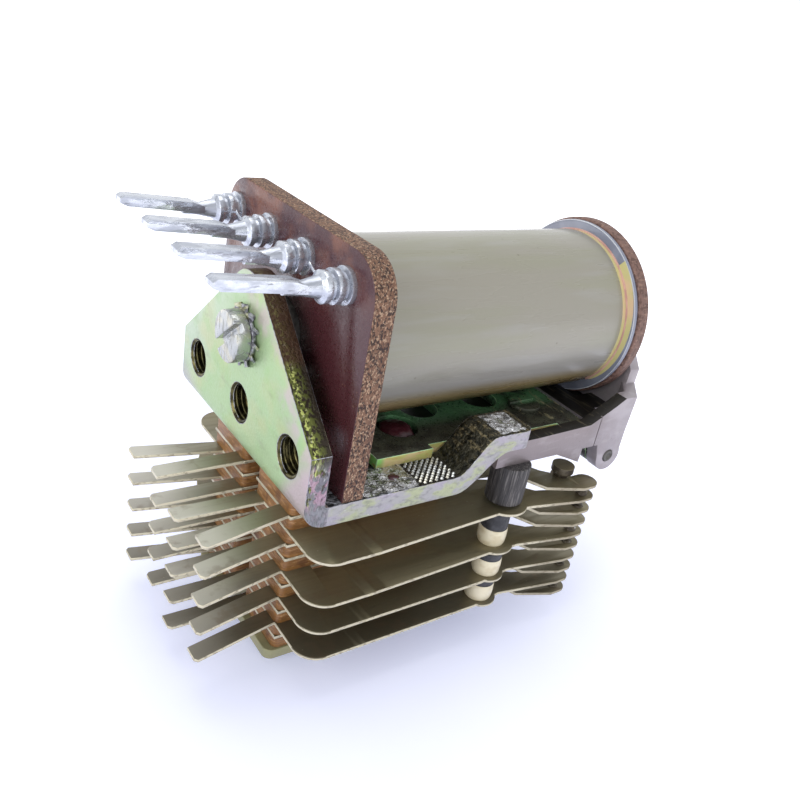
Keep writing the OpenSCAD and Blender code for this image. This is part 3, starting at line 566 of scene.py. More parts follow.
# %% Mix the pads and the mouldings
layers = mottle((0.25, 0.25, 5), 4, 0.42, 0.6)
PAD = finish("pad_laminate", "8e6232", 0, 0.5, [
    ("644022", 0.5, layers),
    ("ba8e60", 0.6, mottle((0.8, 0.8, 3), 7, 0.54, 0.66)),
    ("542e18", 0.6, mottle(0.5, 5, 0.54, 0.68)),
], (0.03, layers), coat=(0.15, 0.1))
CLAMP_PLATING = finish("clamp_plating", "a09a74", 0.35, 0.42, [
    ("929270", 0.6, mottle(0.3, 4, 0.42, 0.62)),
], (0.015, mottle(2, 5, 0.3, 0.7)))
IVORY = finish("ivory", "ded4b8", 0, 0.34, [
    ("c4b48e", 0.6, mottle((0.6, 0.6, 0.9), 4, 0.45, 0.65)),
    ("968260", 0.5, specks(1.5, 0.2, 0.55, 0.64)),
], (0.01, mottle(2, 4, 0.3, 0.7)), coat=(0.3, 0.2))
DARK_MOULDING = finish("dark_moulding", "3a3a3e", 0, 0.5, [
    ("1e1e22", 0.7, mottle(0.9, 5, 0.42, 0.6)),
], (0.02, mottle(2.4, 5, 0.3, 0.7)))
streak = mottle((5.5, 5.5, 0.35), 5, 0.5, 0.62)
DRAWN_ROD = finish("drawn_rod", "3a3737", 0, 0.55, [
    ("706c6a", 0.75, streak),
    ("222022", 0.8, mottle((2.4, 2.4, 0.16), 4, 0.52, 0.62)),
], (0.04, streak))

# %% [markdown]
# ## The table
#
# The relay rests on a wide pale sheet, at the height of its lowest screw heads. The photograph's is
# nearly white, and a little blue round the relay. Light alone would leave it grey, so the sheet
# also glows faintly, and more so away from the object.

# %% Lay the table
TABLE_HALF = 6.0
# The weaker, bluish glow near the relay paints the blue of its shadow on the sheet.
GLOW_NEAR, GLOW_FAR = (0.2, 0.22, 0.34, 1), (0.9, 0.9, 0.94, 1)
GLOW_REACH = (45, 200)

PALE_TABLE = finish("pale_table", "eeeef4", 0, 0.6, [
    ("e4e6f2", 0.7, mottle(0.012, 3, 0.4, 0.65)),
])
tree = PALE_TABLE.node_tree
shader = tree.nodes["Principled BSDF"].inputs
away = vector_calc(tree, "LENGTH", tree.nodes["place_mm"]).outputs["Value"]
glow = mixed(tree, ramp(tree, away, *GLOW_REACH), GLOW_NEAR, GLOW_FAR)
put(tree, shader["Emission Color"], glow)
put(tree, shader["Emission Strength"], 1.0)

table = bpy.data.meshes.new("table")
turns = ((-1, -1), (1, -1), (1, 1), (-1, 1))
corners = [(x * TABLE_HALF, y * TABLE_HALF, cad_low.z) for x, y in turns]
table.from_pydata(corners, [], [(0, 1, 2, 3)])
table.materials.append(PALE_TABLE)
new_object("table", table)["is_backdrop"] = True
print("table at z =", round(cad_low.z / MM, 2), "mm")

# %% [markdown]
# ## Rounding what the CAD leaves sharp
#
# A stamped or sawn part has a small radius on every edge, and that radius catches the light. A
# Bevel modifier would do for a clean mesh, but a CAD mesh is loose triangles. So a copy is merged,
# its flat faces are joined, and its sharp edges are bevelled. Before that each face gets its finish
# by where it lies and where it points, so that a rolled face and a sheared edge differ.

# %% Helpers that dress a CAD node
FLAT_ANGLE, SHARP_ANGLE, SMOOTH_ANGLE = (math.radians(a) for a in (0.6, 30, 38))
MERGE = 0.0005 * MM


def merged(*nodes):
    """The meshes of some CAD nodes in one editable mesh, welded, with flat regions joined."""
    bm = bmesh.new()
    for node in nodes:
        bm.from_mesh(NODES[node].data)
    bmesh.ops.remove_doubles(bm, verts=bm.verts, dist=MERGE)
    flat = {"verts": bm.verts, "edges": bm.edges, "delimit": {"NORMAL"}}
    bmesh.ops.dissolve_limit(bm, angle_limit=FLAT_ANGLE, **flat)
    return bm


def cut_at(bm, axis, value):
    """Cuts new edges into the mesh along the plane where coordinate 0, 1 or 2 has a value in mm."""
    normal = [float(k == axis) for k in range(3)]
    place = [value * MM * part for part in normal]
    everything = bm.verts[:] + bm.edges[:] + bm.faces[:]
    bmesh.ops.bisect_plane(bm, geom=everything, plane_co=place, plane_no=normal)


def round_edges(bm, width, steps, material=-1, edges=None):
    """Bevels the given edges, or else each edge at which the surface turns sharply."""
    whole = [e for e in bm.edges if len(e.link_faces) == 2]
    bmesh.ops.bevel(
        bm, geom=edges or [e for e in whole if e.calc_face_angle() > SHARP_ANGLE],
        offset=width * MM, offset_type="OFFSET", segments=steps, profile=0.5, affect="EDGES",
        clamp_overlap=True, material=material,
    )


def extruded(bm, faces):
    """Extrudes faces into a closed solid, and returns the new points for the caller to place."""
    grown = bmesh.ops.extrude_face_region(bm, geom=faces)["geom"]
    return [g for g in grown if isinstance(g, bmesh.types.BMVert)]


def zoned(bm, finishes, zone):
    """Gives each face the finish that zone(normal, centre in mm) picks."""
    for face in bm.faces:
        picked = zone(face.normal, face.calc_center_median() / MM)
        face.material_index = finishes.index(picked)


def show(name, mesh):
    """Makes a piece of a finished mesh."""
    print(name, "faces:", len(mesh.polygons))
    return new_object(name, mesh)


def seal(bm, name, *finishes, outward=False):
    """Turns an edited mesh into a piece, smooth inside and crisp at its edges; outward turns the
    faces of a mesh that was built point by point."""
    if outward:
        bmesh.ops.recalc_face_normals(bm, faces=bm.faces)
    mesh = bpy.data.meshes.new(name)
    bm.to_mesh(mesh)
    bm.free()
    for made in finishes:
        mesh.materials.append(made)
    mesh.shade_smooth()
    mesh.set_sharp_from_angle(angle=SMOOTH_ANGLE)
    return show(name, mesh)


def ride(piece, body="frame"):
    """Lets a piece move with a body."""
    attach(piece, body)
    return piece


def stand_for(piece, node):
    """Lets a piece replace a CAD node and move with its body."""
    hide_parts(node)
    return ride(piece, BODY_OF[node])


def dress(node, *finishes, zone=None, width=0.1, steps=2, cuts=(), rim=None, prepare=None):
    """A rounded copy of a CAD node; zone picks the finish of a face, and rim is the bevels'."""
    bm = merged(node)
    for axis, value in cuts:
        cut_at(bm, axis, value)
    if prepare:
        prepare(bm)
    if zone:
        zoned(bm, finishes, zone)
    round_edges(bm, width, steps, finishes.index(rim) if rim else -1)
    return stand_for(seal(bm, node + "_dressed", *finishes), node)


print("edges are rounded above", round(math.degrees(SHARP_ANGLE)), "degrees")

# %% [markdown]
# ## Heelpiece
#
# The heelpiece is one stamped and bent plate, in the CAD's shape. It could have one finish, but the
# press leaves its mark on each surface: chromate on the rolled faces, a torn edge round the flange,
# smooth rail sides, crumpled rail tops, and dark gold in the holes.

# %% Dress the heelpiece
HOLE_PITCH, HOLE_REACH, HOLE_DEPTH = 12.0, 2.6, 3.0
FLANGE_END, FLANGE_FOOT, FLANGE_TOP = 2.9, -6.2, 9.0
BASE_SIDE = 11.2
STRIP_FRONT, STRIP_SIDE, STRIP_CORNER = 30.2, 16.0, 1.1


def heel_zone(normal, centre):
    """Gold in the holes, a torn outline round the flange, then rail sides, rail tops, and the base,
    whose top gets painted shade.
    """
    for hole in (-HOLE_PITCH, 0.0, HOLE_PITCH):
        near_axis = math.hypot(centre.y - hole, centre.z) < HOLE_REACH
        if near_axis and centre.x < HOLE_DEPTH and abs(normal.x) < 0.9:
            return THREAD_GOLD
    if centre.x < FLANGE_END:
        on_outline = abs(normal.x) < 0.35 and centre.z > FLANGE_FOOT
        beside_or_above = abs(normal.y) > 0.02 or centre.z > FLANGE_TOP
        return SHEARED if on_outline and beside_or_above else CHROMATE
    if abs(normal.y) > 0.7:
        return RAIL_SIDE
    if abs(centre.y) > BASE_SIDE:
        return RAIL_TOP if normal.z > 0.2 else RAIL_SIDE
    return CHROMATE_PAINTED_SHADE if normal.z > 0.5 else RAIL_SIDE


def round_strip_ends(bm):
    """The outer corners at the front ends of the stop strips are well rounded."""
    corners = []
    for edge in bm.edges:
        a, b = (v.co / MM for v in edge.verts)
        at_end = min(a.x, b.x) > STRIP_FRONT and min(abs(a.y), abs(b.y)) > STRIP_SIDE
        if at_end and abs(a.z - b.z) > 1:
            corners.append(edge)
    round_edges(bm, STRIP_CORNER, 5, edges=corners)


dress(
    "heelpiece", CHROMATE, SHEARED, RAIL_SIDE, RAIL_TOP, THREAD_GOLD, CHROMATE_PAINTED_SHADE, WORN_EDGE,
    zone=heel_zone, width=0.26, steps=3, rim=WORN_EDGE, prepare=round_strip_ends,
    cuts=((1, -BASE_SIDE), (1, BASE_SIDE), (0, FLANGE_END)),
)

# %% [markdown]
# ## Crumpled rail tops
#
# The press has crumpled the tops of the rails behind the knurl and on the stop strips. Bump alone
# gives a soft grain. Flat facets in all directions give the hard glints of the photograph. So each
# patch is a thin slab whose top points are pushed up at random, with a fixed seed, and which lies
# sunk into the rail along its border.

# %% Crumple the rail tops
RAIL_Z, STRIP_Z = -4.0, 0.5
RAIL_IN, RAIL_OUT, STRIP_OUT = 11.5, 16.5, 16.25
SUNK, SLAB_DEPTH, SHAKE = 0.03, 0.2, 0.3


def crumple(name, x0, x1, y0, y1, z, high, step, seed):
    """A thin slab between two corners (mm), its top points up to high above z, step apart."""
    bm = bmesh.new()
    chance = random.Random(seed)
    nx, ny = max(3, round((x1 - x0) / step)), max(3, round((y1 - y0) / step))
    grid = {}
    for i in range(nx + 1):
        for j in range(ny + 1):
            on_border = i in (0, nx) or j in (0, ny)
            lift = -SUNK if on_border else chance.uniform(0.0, high)
            shake = 0.0 if on_border else step * SHAKE
            x = x0 + (x1 - x0) * i / nx + chance.uniform(-shake, shake)
            y = y0 + (y1 - y0) * j / ny + chance.uniform(-shake, shake)
            grid[i, j] = bm.verts.new((x * MM, y * MM, (z + lift) * MM))
    for i in range(nx):
        for j in range(ny):
            a, b, c, d = grid[i, j], grid[i + 1, j], grid[i + 1, j + 1], grid[i, j + 1]
            halves = ((a, b, c), (a, c, d)) if chance.random() < 0.5 else ((a, b, d), (b, c, d))
            for half in halves:
                bm.faces.new(half)
    for vertex in extruded(bm, bm.faces[:]):
        vertex.co.z = (z - SLAB_DEPTH) * MM
    ride(seal(bm, name, CRUMPLED, outward=True)).data.shade_flat()


for name, side in SIDES.items():
    rail, strip = (sorted((side * RAIL_IN, side * out)) for out in (RAIL_OUT, STRIP_OUT))
    texture = {"high": 0.3, "step": 0.5, "seed": 3 + side}
    crumple(name + "_rail_crumple", 7.2, 15.0, *rail, RAIL_Z, **texture)
    texture = {"high": 0.24, "step": 0.42, "seed": 7 + side}
    crumple(name + "_strip_crumple", 25.6, 29.9, *strip, STRIP_Z, **texture)

# %% [markdown]
# ## Threads in the tapped holes
#
# A thread is one ridge wound along a cylinder. It could be modelled once and copied by hand.
# Geometry Nodes sweep a small triangle along a spiral and place it at each hole, and its pitch,
# depth and spacing stay inputs.

# %% Helpers for Geometry Nodes
def shape_tree(name, **sockets):
    """An empty geometry tree and its input sockets."""
    return new_tree(name, "GeometryNodeTree", "Geometry", "NodeSocketGeometry", **sockets)


def geo(kind, *values, **named):
    """A Geometry Nodes node in the tree that is being built."""
    return wire(tree, "GeometryNode" + kind, *values, **named)


def close_tree(geometry, material):
    """Ends a tree: real geometry, one material, one output."""
    real = geo("RealizeInstances", geometry)
    wire(tree, "NodeGroupOutput", geo("SetMaterial", real, Material=material))


def plain_mesh(host):
    """The mesh of an object with its modifiers or its curve worked out; the object is removed."""
    bpy.context.view_layer.update()
    shown = host.evaluated_get(bpy.context.evaluated_depsgraph_get())
    mesh = bpy.data.meshes.new_from_object(shown)
    bpy.data.objects.remove(host)
    return mesh


def grow(name, tree, place, turn=Matrix()):
    """Runs a tree, turns and moves the result in its mesh (mm), and returns it as a plain piece."""
    host = new_object(name + "_seed", bpy.data.meshes.new(name + "_seed"))
    modifier = host.modifiers.new(name, "NODES")
    modifier.node_group = tree
    for item in tree.interface.items_tree:
        if item.in_out == "INPUT":
            modifier[item.identifier] = item.default_value
    shaped = plain_mesh(host)
    shaped.transform(Matrix.Translation(Vector(place) * MM) @ turn)
    shaped.name = name
    return show(name, shaped)


# %% Cut the threads
ALONG_X = Matrix.Rotation(math.pi / 2, 4, "Y")
THREAD_X = 0.25

tree, entry = shape_tree(
    "Thread", Radius=2.16 * MM, Pitch=0.62 * MM, Turns=3.0, Ridge=0.3 * MM,
    Holes=3, Spacing=HOLE_PITCH * MM, Finish=THREAD_GOLD,
)
climb = calc(tree, "MULTIPLY", entry["Pitch"], entry["Turns"])
radius = entry["Radius"]
spiral = geo("CurveSpiral", 40, entry["Turns"], radius, radius, climb)
section = geo("CurvePrimitiveCircle", Resolution=3, Radius=entry["Ridge"])
swept = geo("CurveToMesh", spiral, section, Fill_Caps=True)
step = wire(tree, "ShaderNodeCombineXYZ", Y=entry["Spacing"])
row = geo("MeshLine", Count=entry["Holes"], Offset=step, mode="OFFSET")
close_tree(geo("InstanceOnPoints", row, Instance=swept), entry["Finish"])
# The spiral climbs along Z and the row runs along Y: turning about Y lays each thread along X
ride(grow("tapped_threads", tree, (THREAD_X, -HOLE_PITCH, 0), ALONG_X))

# %% [markdown]
# ## Knurled patch
#
# A punch has left rows of small pyramids on the rail. A bump texture would look flat from this
# near. They sit on a square grid turned by 45 degrees, of which the points inside the patch are
# kept. An instance at each point costs a few faces and gives true highlights.

# %% Stamp the knurled patch
KNURL_POINTS = 15
KNURL_AT = (17.6, 14.1)

tree, entry = shape_tree(
    "Knurl", Length=4.8 * MM, Width=4.2 * MM, Spacing=0.56 * MM, Foot=0.24 * MM,
    Top=0.09 * MM, Height=0.24 * MM, Finish=PLATED_SCREW,
)
extent = calc(tree, "MULTIPLY", entry["Spacing"], KNURL_POINTS - 1.0)
grid = geo("MeshGrid", extent, extent, KNURL_POINTS, KNURL_POINTS)
grid = geo("Transform", grid, Rotation=(0, 0, math.pi / 4))
spot = wire(tree, "ShaderNodeSeparateXYZ", geo("InputPosition"))
outside = []
for axis, label in enumerate(("Length", "Width")):
    across = calc(tree, "MULTIPLY", calc(tree, "ABSOLUTE", spot.outputs[axis]), 2.0)
    outside.append(calc(tree, "GREATER_THAN", across, entry[label]))
kept = geo("DeleteGeometry", grid, calc(tree, "MAXIMUM", *outside))
sizes = {"Radius_Top": entry["Top"], "Radius_Bottom": entry["Foot"], "Depth": entry["Height"]}
point = geo("MeshCone", Vertices=6, **sizes)
close_tree(geo("InstanceOnPoints", kept, Instance=point), entry["Finish"])
for name, side in SIDES.items():
    ride(grow(name + "_knurl", tree, (KNURL_AT[0], side * KNURL_AT[1], RAIL_Z - 0.02)))

# %% [markdown]
# ## Lock washer
#
# The washer under the coil screw has twisted teeth that bite into the flange. Cut out of a disc
# they would stay flat. As instances on points along a circle, each can be twisted about its own
# length, and their number stays an input.

# %% Twist the lock washer's teeth
tree, entry = shape_tree(
    "Toothed washer", Teeth=12, Tooth_Radius=3.05 * MM, Ring_Radius=2.3 * MM,
    Thickness=0.4 * MM, Twist=0.7, Finish=WORN_EDGE,
)
TOOTH = (0.95 * MM, 0.28 * MM, 0.8 * MM)
RING_WIDTH = 1.1 * MM


def circle(label):
    return geo("CurvePrimitiveCircle", Resolution=48, Radius=entry[label])


spots = geo("CurveToPoints", circle("Tooth Radius"), entry["Teeth"])
turn = spots.outputs["Rotation"]
teeth = geo("InstanceOnPoints", spots, Instance=geo("MeshCube", TOOTH), Rotation=turn)
teeth = geo("RotateInstances", teeth, Rotation=wire(tree, "ShaderNodeCombineXYZ", entry["Twist"]))
section = geo("CurvePrimitiveQuadrilateral", RING_WIDTH, entry["Thickness"])
both = geo("JoinGeometry", teeth)
put(tree, both.inputs[0], geo("CurveToMesh", circle("Ring Radius"), section))
close_tree(both, entry["Finish"])


def box_mm(node):
    """A CAD node's lowest and highest corners, and the middle between them, in mm."""
    low, high = (Vector(c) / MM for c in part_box(node))
    return low, high, (low + high) / 2


coil_z = box_mm("front_spool_head")[2].z
washer_x = box_mm("lock_washer")[2].x
stand_for(grow("toothed_washer", tree, (washer_x, 0, coil_z), ALONG_X), "lock_washer")

# %% [markdown]
# ## Turned pieces
#
# Everything round is a profile turned about an axis. A Screw modifier could turn it, but here each
# band of faces also gets its own finish. The profile is a list of (along, radius) points, and its
# corners are cut to small arcs that catch the light.

# %% Helpers that turn a profile


def soften(profile, radius, steps=3):
    """Replaces each corner of a closed profile by a few points of a curve."""
    points = [Vector(p) for p in profile]
    out = []
    for before, here, after in zip(points[-1:] + points, points, points[1:] + points[:1]):
        if here[1] == 0:
            out.append(tuple(here))
            continue
        cut = min(radius, (before - here).length / 2, (after - here).length / 2)
        start, end = (here + (p - here).normalized() * cut for p in (before, after))
        for s in range(steps + 1):
            t = s / steps
            out.append(tuple(start * (1 - t) ** 2 + here * 2 * t * (1 - t) + end * t * t))
    return out


def turned(name, profile, origin, axis, *finishes, pick=None, segments=96):
    """A profile turned about an axis through origin (mm); it starts and ends on the axis, or is
    closed to a ring. pick(along) gives the finish."""
    bm = bmesh.new()
    aim = Vector(axis).to_track_quat("Z", "Y").to_matrix()
    rings = []
    for along, radius in profile:
        rings.append([])
        for s in range(segments if radius else 1):
            angle = 2 * math.pi * s / segments
            point = Vector((radius * math.cos(angle), radius * math.sin(angle), along))
            rings[-1].append(bm.verts.new((Vector(origin) + aim @ point) * MM))
    pairs = list(zip(profile + profile[:1], rings + rings[:1]))
    for ((start, _), a), ((end, _), b) in zip(pairs, pairs[1:]):
        if len(a) == len(b) == 1:
            continue
        for s in range(segments):
            t = (s + 1) % segments
            corners = [a[s % len(a)], a[t % len(a)], b[t % len(b)], b[s % len(b)]]
            face = bm.faces.new(list(dict.fromkeys(corners)))
            face.material_index = finishes.index(pick((start + end) / 2)) if pick else 0
    return seal(bm, name, *finishes, outward=True)


def ring_profile(low, high, outer, bore):
    return [(low, bore), (high, bore), (high, outer), (low, outer)]


print("a softened square has", len(soften(ring_profile(0, 1, 2, 1), 0.2)), "points")

# %% [markdown]
# ## Coil parts
#
# The sleeve, washer, tape and front head all turn about the coil's axis. A plain turned sleeve is
# too perfect: a film pulled over wire isn't quite even, and its highlight waves. So its outer
# points are moved in and out by a slow noise.

# %% Turn the coil parts
X_AXIS, Y_AXIS, Z_AXIS = (1, 0, 0), (0, 1, 0), (0, 0, 1)
AXIS_AT = (0, 0, coil_z)
BORE = 4.1
WAVE, WAVE_SCALE = 0.035, (0.06, 0.3, 0.3)
WRAP_INSET, WRAP_LIP = 0.04, 0.3
SLEEVE_SECTIONS = 60


def round_x(node):
    """The rear and front end and the radius of a round node on the coil's axis, in mm."""
    low, high, _ = box_mm(node)
    return low.x, high.x, (high.z - low.z) / 2


for node, name, made, corner in (
    ("front_spool_head", "front_head", FRONT_BOARD, 0.35),
    ("clear_washer", "clear_disc", CLEAR_FILM, 0.3),
    ("coil_tape", "tape_band", TAPE, 0.15),
):
    profile = soften(ring_profile(*round_x(node), BORE), corner, steps=4)
    stand_for(turned(name, profile, AXIS_AT, X_AXIS, made, segments=160), node)

x0, x1, wrap_r = round_x("coil_wrap")
outer = wrap_r - WRAP_INSET
profile = [(x0, outer - WRAP_LIP), (x0, outer - 0.06), (x0 + 0.15, outer)]
for i in range(1, SLEEVE_SECTIONS):
    profile.append((x0 + (x1 - x0) * i / SLEEVE_SECTIONS, outer))
profile += [(x1 - 0.15, outer), (x1, outer - 0.06), (x1, outer - WRAP_LIP)]
sleeve = turned("sleeve", profile, AXIS_AT, X_AXIS, SLEEVE, segments=200)
for vertex in sleeve.data.vertices:
    offset = vertex.co / MM - Vector(AXIS_AT)
    around = Vector((0, offset.y, offset.z))
    if around.length > outer - 0.1:
        swell = noise.noise(offset * Vector(WAVE_SCALE))
        vertex.co += around.normalized() * swell * WAVE * MM
stand_for(sleeve, "coil_wrap")

# %% [markdown]
# Behind the clear washer the tape's turned-over edge shows as a cream crescent, with a thin pink
# line inside it. Paint can't follow them exactly, so they are thin curved strips on the washer's
# rear face. A third strip, all the way round, is the film's cut rim, painted pale as a highlight.

# %% Lay the crescent, the pink line and the rim on the washer


def arc_strip(name, made, thickness, inner, outer, start, end, steps=60, growth=0.0):
    """A thin strip on the washer's rear face between two angles (degrees, 0 is -Y, 90 is up)."""
    bm = bmesh.new()
    rows = []
    for i in range(steps + 1):
        t = i / steps
        angle = math.radians(start + (end - start) * t)
        direction = Vector((0, -math.cos(angle), math.sin(angle)))
        edge = outer + growth * t ** 0.55
        corners = ring_profile(disc_x - thickness, disc_x + 0.02, edge, inner)
        places = [Vector((x, 0, coil_z)) + direction * radius for x, radius in corners]
        rows.append([bm.verts.new(place * MM) for place in places])
    for a, b in zip(rows, rows[1:]):
        for k in range(4):
            bm.faces.new((a[k], a[(k + 1) % 4], b[(k + 1) % 4], b[k]))
    bm.faces.new(rows[0])
    bm.faces.new(rows[-1])
    ride(seal(bm, name, made, outward=True), "frame")


disc_x = round_x("clear_washer")[0]
RIM_IN, RIM_OUT = 11.86, 11.99
band_in, band_out = wrap_r - 0.3, wrap_r + 0.1
arc_strip("tape_crescent", TAPE, 0.08, band_in, band_out, -48, 51, growth=1.1)
arc_strip("pink_line", PINK_LINE, 0.12, band_in, band_out, -50, 120, steps=90)
arc_strip("washer_rim_highlight", WASHER_RIM_HIGHLIGHT, 0.02, RIM_IN, RIM_OUT, -180, 180, steps=120)

# %% [markdown]
# ## Screws, pin, bushings and studs
#
# The coil screw keeps its CAD form, with rounded edges and a wider slot, turned as in the
# photograph. The pin, the bushings and the studs are plain round bodies. They could be dressed too,
# but a stud is an ivory foot with a dark cap, and one turned profile carries both finishes.

# %% Dress the screws
SLOT_HALF, NEW_SLOT_HALF = 0.4, 0.52
SLOT_FLOOR, NEW_SLOT_FLOOR = -1.6, -1.4
SLOT_BEHIND = -0.61
SCREW_TURN = math.radians(50)
CLOSE = 0.01

bm = merged("coil_screw")
for vertex in bm.verts:
    x, y, z = vertex.co / MM
    if abs(abs(y) - SLOT_HALF) < CLOSE and x < SLOT_BEHIND:
        around = math.hypot(y, z - coil_z)
        y = math.copysign(NEW_SLOT_HALF, y)
        z = coil_z + math.copysign(math.sqrt(around * around - y * y), z - coil_z)
    if abs(x - SLOT_FLOOR) < CLOSE:
        x = NEW_SLOT_FLOOR
    vertex.co = Vector((x, y, z)) * MM
to_axis = Matrix.Translation(Vector(AXIS_AT) * MM)
bm.transform(to_axis @ Matrix.Rotation(SCREW_TURN, 4, "X") @ to_axis.inverted())
round_edges(bm, 0.16, 3)
stand_for(seal(bm, "coil_screw_dressed", PLATED_SCREW), "coil_screw")
dress("bracket_screws", BRACKET_TOP, width=0.12)

# %% Turn the bushings, the studs and the pin
TIP, TIP_RADIUS = 0.4, 1.2
CAP_FROM, CAP_GROOVE = 2.4, 0.1


def turn_upright(node, suffix, draw, *finishes, **settings):
    """Turns the profile draw(radius, foot, top) about the upright axis of a round node."""
    low, high, middle = box_mm(node)
    profile = draw((high.x - low.x) / 2, low.z, high.z)
    place = (middle.x, middle.y, 0)
    stand_for(turned(node + suffix, profile, place, Z_AXIS, *finishes, **settings), node)


def draw_rod(radius, foot, top):
    tip = foot + TIP
    profile = [(foot, 0), (foot, TIP_RADIUS), (tip, TIP_RADIUS), (tip, radius), (top, radius)]
    return soften([*profile, (top, 0)], 0.18)


def draw_stud(radius, foot, top):
    cap = foot + CAP_FROM
    neck = radius - 0.12
    return [
        (foot, 0), (foot, radius * 0.9), (foot + 0.35, radius - 0.05), (foot + 1.2, radius),
        (cap - 0.25, radius - 0.03), (cap - 0.02, neck), (cap, radius - 0.2), (cap + 0.08, neck),
        (top - 0.12, neck), (top, radius - 0.22), (top, 0),
    ]


for side in SIDES:
    turn_upright(side + "_bushing", "_rod", draw_rod, DRAWN_ROD)
    for i in (2, 3, 4):
        node = f"{side}_stud_{i}"
        dark_from = box_mm(node)[0].z + CAP_FROM - CAP_GROOVE
        turn_upright(
            node, "_turned", draw_stud, IVORY, DARK_MOULDING, segments=64,
            pick=lambda along: DARK_MOULDING if along > dark_from else IVORY,
        )

low, high, middle = box_mm("hinge_pin")
pin_r, half = (high.z - low.z) / 2, high.y
rear = [(0.3, 0), (0.12, pin_r * 0.45), (0, pin_r * 0.6), (0, pin_r - 0.12), (0.12, pin_r)]
profile = [(inset - half, r) for inset, r in rear] + [(half - inset, r) for inset, r in rear[::-1]]
pin_at = (middle.x, 0, middle.z)
stand_for(turned("hinge_pin_turned", profile, pin_at, Y_AXIS, DARK_STEEL, segments=48), "hinge_pin")

# %% [markdown]
# ## Boards, bracket and armature
#
# These flat parts could be one colour each, but what was rolled or sawn differs on them, and so
# does the shade they lie in. So they are dressed like the heelpiece. The rear board changes finish
# between its faces and its sawn sides. The bracket's top is dark green in painted shade, its outer
# sides are bright, and the rims of its slots carry a painted highlight. The armature is bare
# nickel, with painted shade where it faces the coil.

# %% Dress the board and the bracket
CLAMP_SCREW_AT = (18.2, 6.07)
OPENING_REACH = 3.6
BRACKET_SIDE, BRACKET_REAR, BRACKET_BENDS = 10.9, 12, -4.2


def board_zone(normal, centre):
    return LAMINATE_EDGE if abs(normal.x) < 0.5 else LAMINATE_FACE


def bracket_zone(normal, centre):
    """The outer sides are bright, the walls of slots and holes are dark like the top."""
    outer_side = abs(normal.y) > 0.7 and abs(centre.y) > BRACKET_SIDE
    rear_edge = normal.x < -0.7 and centre.x < BRACKET_REAR
    bright = (outer_side or rear_edge) and centre.z > BRACKET_BENDS
    return BRACKET_EDGE if bright else BRACKET_TOP


dress("rear_spool_head", LAMINATE_FACE, LAMINATE_EDGE, zone=board_zone, width=0.22)
finishes = BRACKET_TOP, BRACKET_EDGE, SLOT_RIM_HIGHLIGHT
bracket = dress("hinge_bracket", *finishes, zone=bracket_zone, width=0.14, rim=SLOT_RIM_HIGHLIGHT)
# The openings round the clamp screws have no bright rims
for polygon in bracket.data.polygons:
    x, y = polygon.center.x / MM, abs(polygon.center.y) / MM
    if math.hypot(x - CLAMP_SCREW_AT[0], y - CLAMP_SCREW_AT[1]) < OPENING_REACH:
        polygon.material_index = finishes.index(BRACKET_TOP)

# %% Dress the armature
# The plate's foot runs on between the two cross pieces, low enough to clear the front head
FOOT_PROFILE = [(49.2, -4.57), (53.0, -4.57), (53.0, -3.72), (52.2, -4.17), (49.2, -4.17)]
FOOT_HALF = 6.4
SOIL_TOP, SOIL_FRONT = 1.0, 50.3
ARM_INSIDE, ARM_FRONT = 13.3, 50
SLIVERS_AT, SLIVER_WIDTH = (50, 13), 0.2


def armature_zone(normal, centre):
    """What faces the coil from below lies in the dark and gets painted shade; the rest is bare
    nickel.
    """
    upward = normal.z > 0.4 and centre.z < SOIL_TOP and centre.x < SOIL_FRONT
    inside = abs(normal.y) > 0.7 and abs(centre.y) < ARM_INSIDE and centre.x < ARM_FRONT
    return NICKEL_PAINTED_SHADE if upward or inside else DULL_NICKEL


# The foot's top faces the coil from below and gets painted shade.
def foot_zone(normal, centre):
    return NICKEL_PAINTED_SHADE if normal.z > 0.4 else DULL_NICKEL


def drop_slivers(bm):
    """Welds the narrow faces at the foot of the front plate, which a bevel would turn over."""
    x, y = SLIVERS_AT
    close = [v for v in bm.verts if v.co.x > x * MM and abs(v.co.y) > y * MM]
    bmesh.ops.remove_doubles(bm, verts=close, dist=SLIVER_WIDTH * MM)
    loose = [e for e in bm.edges if not e.link_faces]
    bmesh.ops.delete(bm, geom=loose, context="EDGES")


finishes = DULL_NICKEL, NICKEL_PAINTED_SHADE
dress("armature", *finishes, zone=armature_zone, width=0.22, steps=3, prepare=drop_slivers)
bm = bmesh.new()
side_face = [bm.verts.new(Vector((x, -FOOT_HALF, z)) * MM) for x, z in FOOT_PROFILE]
for vertex in extruded(bm, [bm.faces.new(side_face)]):
    vertex.co.y = FOOT_HALF * MM
bmesh.ops.recalc_face_normals(bm, faces=bm.faces)
round_edges(bm, 0.12, 3)
zoned(bm, finishes, foot_zone)
ride(seal(bm, "armature_foot", *finishes), BODY_OF["armature"])
for side in SIDES:
    dress(side + "_pads", PAD, width=0.12)
    dress(side + "_clamp_plate", CLAMP_PLATING, width=0.2)

# %% [markdown]
# ## Leaf springs
#
# A fixed spring is one CAD node. A moving spring is two, its clamped root and its free blade,
# because the solver needs a hinge where the metal flexes. Two rigid halves would break there. The
# real spring is one strip, so the two meshes are joined and cut into short lengths near the bend.

# %% Dress the fixed springs
SPRING_ROUND = 0.07
SPRING_FINISHES = SPRING_FACE, SPRING_EDGE, CONTACT
TOP_LEVEL, LEVEL_PITCH = -9.5, 1.95
TIPS_FROM, HALF_THICK = 39, 0.24
ARM_X, ARM_Y, FULL_Y = 36.4, 13.65, 16.2


def spring_zone(normal, centre):
    """Rolled faces point up or down, sheared edges sideways; contacts stand out from a tip."""
    level = TOP_LEVEL - LEVEL_PITCH * round((TOP_LEVEL - centre.z) / LEVEL_PITCH)
    if centre.x > TIPS_FROM and abs(centre.z - level) > HALF_THICK:
        return CONTACT
    return SPRING_EDGE if abs(normal.z) < 0.6 else SPRING_FACE


